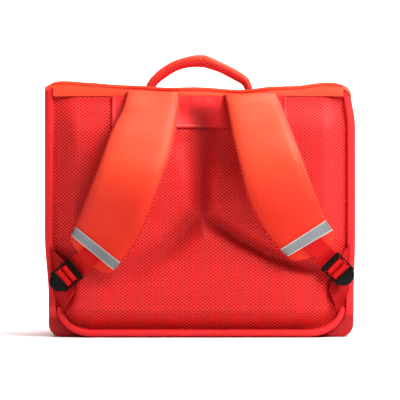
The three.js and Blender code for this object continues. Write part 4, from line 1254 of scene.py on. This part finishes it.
def build_fastening(name, table):
    """Webbing from the tape through the buckle, the short webbing of the wing, and the wing."""
    spot = BUCKLES[name]
    run = spot["run"]
    middle = (spot["across"] * HALF_WIDTH, spot["up"] * BODY_HEIGHT)
    level = SEAM_Y - BUCKLE_OUT
    end = BUCKLE_SIDE / 2
    reach = end - BUCKLE_RIM
    ridge = reach * 0.6
    under = -(WEB_THICK + GAP)
    tucked = WING_DROP + GAP

    def put(along, over, off):
        x = middle[0] + run[0] * along - run[1] * over
        return stack(x, level - off, middle[1] + run[1] * along + run[0] * over)

    def in_frame(t, w):
        x, _, z = pad_face(table, np.array(t), np.array(w))
        x, z = x - middle[0], z - middle[1]
        return x * run[0] + z * run[1], -x * run[1] + z * run[0]

    def hump(away, floor):
        rise = BAR * 0.6 + GAP * 2 - 0.6 * np.maximum(0, abs(away) - BAR) ** 2
        return np.maximum(floor, rise)

    def on_pad(along, over):
        point = put(along, over, 0)
        return level - face_in_front(table, point[..., 0], point[..., 2]) + GAP * 2

    tape_a, tape_b = in_frame(TAPE_TO, -1.0), in_frame(TAPE_TO, 1.0)
    last_pad = min(float(in_frame(1.0, 0.0)[0]), -end - 8)

    def tape_line(over):
        return mix(tape_a[0], tape_b[0], (over - tape_a[1]) / (tape_b[1] - tape_a[1])) + GAP * 2

    def strap_height(along, over):
        drop = ease((along - last_pad) / (-end - 1 - last_pad))
        down = mix(on_pad(np.full(along.shape, last_pad), over), under, drop)
        over_bar = hump(along + ridge, np.where(along < -ridge, under, GROOVE))
        bent = mix(under, over_bar, ease((along + reach - GAP) / 1.6))
        height = np.where(along <= last_pad, on_pad(along, over), down)
        return np.where(along > -reach + GAP, bent, height)

    def anchor_height(along, _):
        bent = hump(along - ridge, np.where(along > ridge, tucked, GROOVE))
        return mix(tucked, bent, ease((reach - 0.6 - along) / 1.6))

    for label, begin, finish, height in (
        ("strap_web", tape_line, -GAP, strap_height),
        ("anchor_web", lambda over: np.full(over.shape, GAP), reach - GAP * 2, anchor_height),
    ):
        u, v = shares(150, 24)
        over = mix(-WEB_WIDTH / 2, WEB_WIDTH / 2, v)
        along = mix(begin(over), finish, u)
        off = height(along, over)
        gathered = ease((reach + 3.5 - abs(along)) / 2)
        over = over * mix(1, WINDOW_WIDTH / WEB_WIDTH, gathered)
        round_edge = 0.3 * (abs(2 * v - 1) ** 10)
        outer = put(along, over, off + WEB_THICK - round_edge)
        inner = put(along, over, off + round_edge)
        flat = np.stack([along, v * WEB_WIDTH], -1)
        slab(f"{label}_{name}", outer, inner, WEBBING_RED, flat, 60)

    wing = WINGS[name]
    edge = math.copysign(HALF_WIDTH - BINDING_WIDTH * 0.65, middle[0])
    u, v = shares(60, 60)
    foot = mix(edge * WING_HEEL, edge, ease(v / WING_SPREAD))
    x = mix(foot, mix(wing["heel"][0], wing["tip"][0], v) * HALF_WIDTH, u)
    base = mix(wing["base_low"], wing["base_up"], v)
    z = mix(base, mix(wing["heel"][1], wing["tip"][1], v), u) * BODY_HEIGHT
    hem = 0.5 * bell(np.minimum(v, 1 - v) - 0.07, 0.04)
    folds = 0.7 * np.sin(v * math.pi * 4 + 0.6) * np.sin(u * math.pi) * np.sin(v * math.pi)
    y = mix(BACK_Y - GAP - WING_THICK, level - WING_DROP, ease(u / 0.6)) + folds * 0.6
    outer, inner = body(x, y - hem * (1 - u), z), body(x, y + WING_THICK, z)
    # The wing gets the darker cloth of painted shade
    piece = slab(f"anchor_wing_{name}", outer, inner, WING_SHADED_RED, None, 60)
    reach = abs(edge - wing["tip"][0] * HALF_WIDTH) + BUCKLE_OUT
    hems = body(x, y - 0.25, z)
    return [facing_back(hems[6:54, k]) for k in (4, 55)]


def build_hard(node):
    """A plastic piece: the solid's own shape, with every edge rounded over."""
    mesh = bpy.data.objects[node].data.copy()
    mesh.name = f"{node}_plastic"
    piece = bpy.data.objects.new(f"{node}_plastic", mesh)
    scene.collection.objects.link(piece)
    weld = piece.modifiers.new("weld", "WELD")
    weld.merge_threshold = 0.00002
    soften = piece.modifiers.new("soften", "BEVEL")
    soften.width = 0.0005
    soften.segments = 3
    soften.limit_method = "ANGLE"
    soften.angle_limit = math.radians(35)
    mesh.polygons.foreach_set("use_smooth", np.ones(len(mesh.polygons), bool))
    dress(piece, PLASTIC_BLACK, node)


build_panel()
build_patch()
build_bumper()
seams = [build_binding(-1, "left"), build_binding(1, "right")]
build_gusset()
build_front()
build_flap()
build_piping()
handle_rows = build_handle()
strap_rows = []
for side_name in ("left", "right"):
    strap_table, rows = build_strap(side_name)
    strap_rows += rows
    seams += build_fastening(side_name, strap_table)
    build_hard(f"buckle_{side_name}")
    build_hard(f"clasp_{side_name}")
ROWS = {"seam_stitches": seams, "strap_stitches": strap_rows, "handle_stitches": handle_rows}
for label, rows in ROWS.items():
    dress(stitches(label, rows), THREAD_RED)

# Pale floor, soft lamps and the camera


def build_floor():
    """A wide sheet that lies flat under the bag and curves up far behind it."""
    x = np.linspace(-3000, 3000, 3)[:, None]
    y = np.linspace(-2600, 2600, 80)[None]
    z = np.maximum(0, y - 1300) ** 2 / 900 - 0.3
    floor = new_object("floor", stack(x, y, z), quads(3, 80)[1])
    paper = bpy.data.materials.new("floor_paper")
    paper.use_nodes = True
    shader = paper.node_tree.nodes["Principled BSDF"]
    shader.inputs["Base Color"].default_value = (0.8, 0.8, 0.8, 1)
    shader.inputs["Roughness"].default_value = 0.8
    floor.data.materials.append(paper)


def lamp(name, place, size, power, target=(0.0, -0.08, 0.17)):
    """A rectangular lamp turned to a target."""
    data = bpy.data.lights.new(name, "AREA")
    data.shape = "RECTANGLE"
    data.size, data.size_y = size
    data.energy = power
    light = bpy.data.objects.new(name, data)
    light.location = place
    light.rotation_mode = "QUATERNION"
    light.rotation_quaternion = (Vector(target) - Vector(place)).to_track_quat("-Z", "Y")
    scene.collection.objects.link(light)


build_floor()
lamp("key", (0.95, -0.76, 1.4), (1.1, 1.1), 42.0)
lamp("top", (0.2, -0.6, 2.2), (0.8, 0.6), 5.0)
lamp("fill", (-1.8, -0.8, 1.1), (1.0, 1.0), 7.0)
lamp("backdrop", (0.0, 1.4, 2.6), (3.0, 1.2), 90.0, (0.0, 2.2, 0.6))

world = bpy.data.worlds.new("studio")
world.use_nodes = True
sky = world.node_tree.nodes["Background"].inputs
sky["Color"].default_value = (1, 1, 1, 1)
sky["Strength"].default_value = 0.07
scene.world = world

LENS_MM = 200.0
SENSOR_MM = 36.0
PHOTO_PIXELS = 400
FLOOR_ROW = 337
PIXEL_MM = 1.222
distance = LENS_MM / SENSOR_MM * PHOTO_PIXELS * PIXEL_MM
eye = bpy.data.cameras.new("camera")
eye.lens = LENS_MM
eye.sensor_width = SENSOR_MM
eye.clip_start, eye.clip_end = 0.05, 20.0
camera = bpy.data.objects.new("camera", eye)
up = (FLOOR_ROW - PHOTO_PIXELS / 2) * PIXEL_MM
camera.location = (0.0, (BACK_Y - distance) * MM, up * MM)
camera.rotation_euler = (math.radians(90), 0, 0)
scene.collection.objects.link(camera)
scene.camera = camera
scene.view_settings.view_transform = "Standard"
scene.view_settings.look = "High Contrast"

bpy.context.view_layer.update()
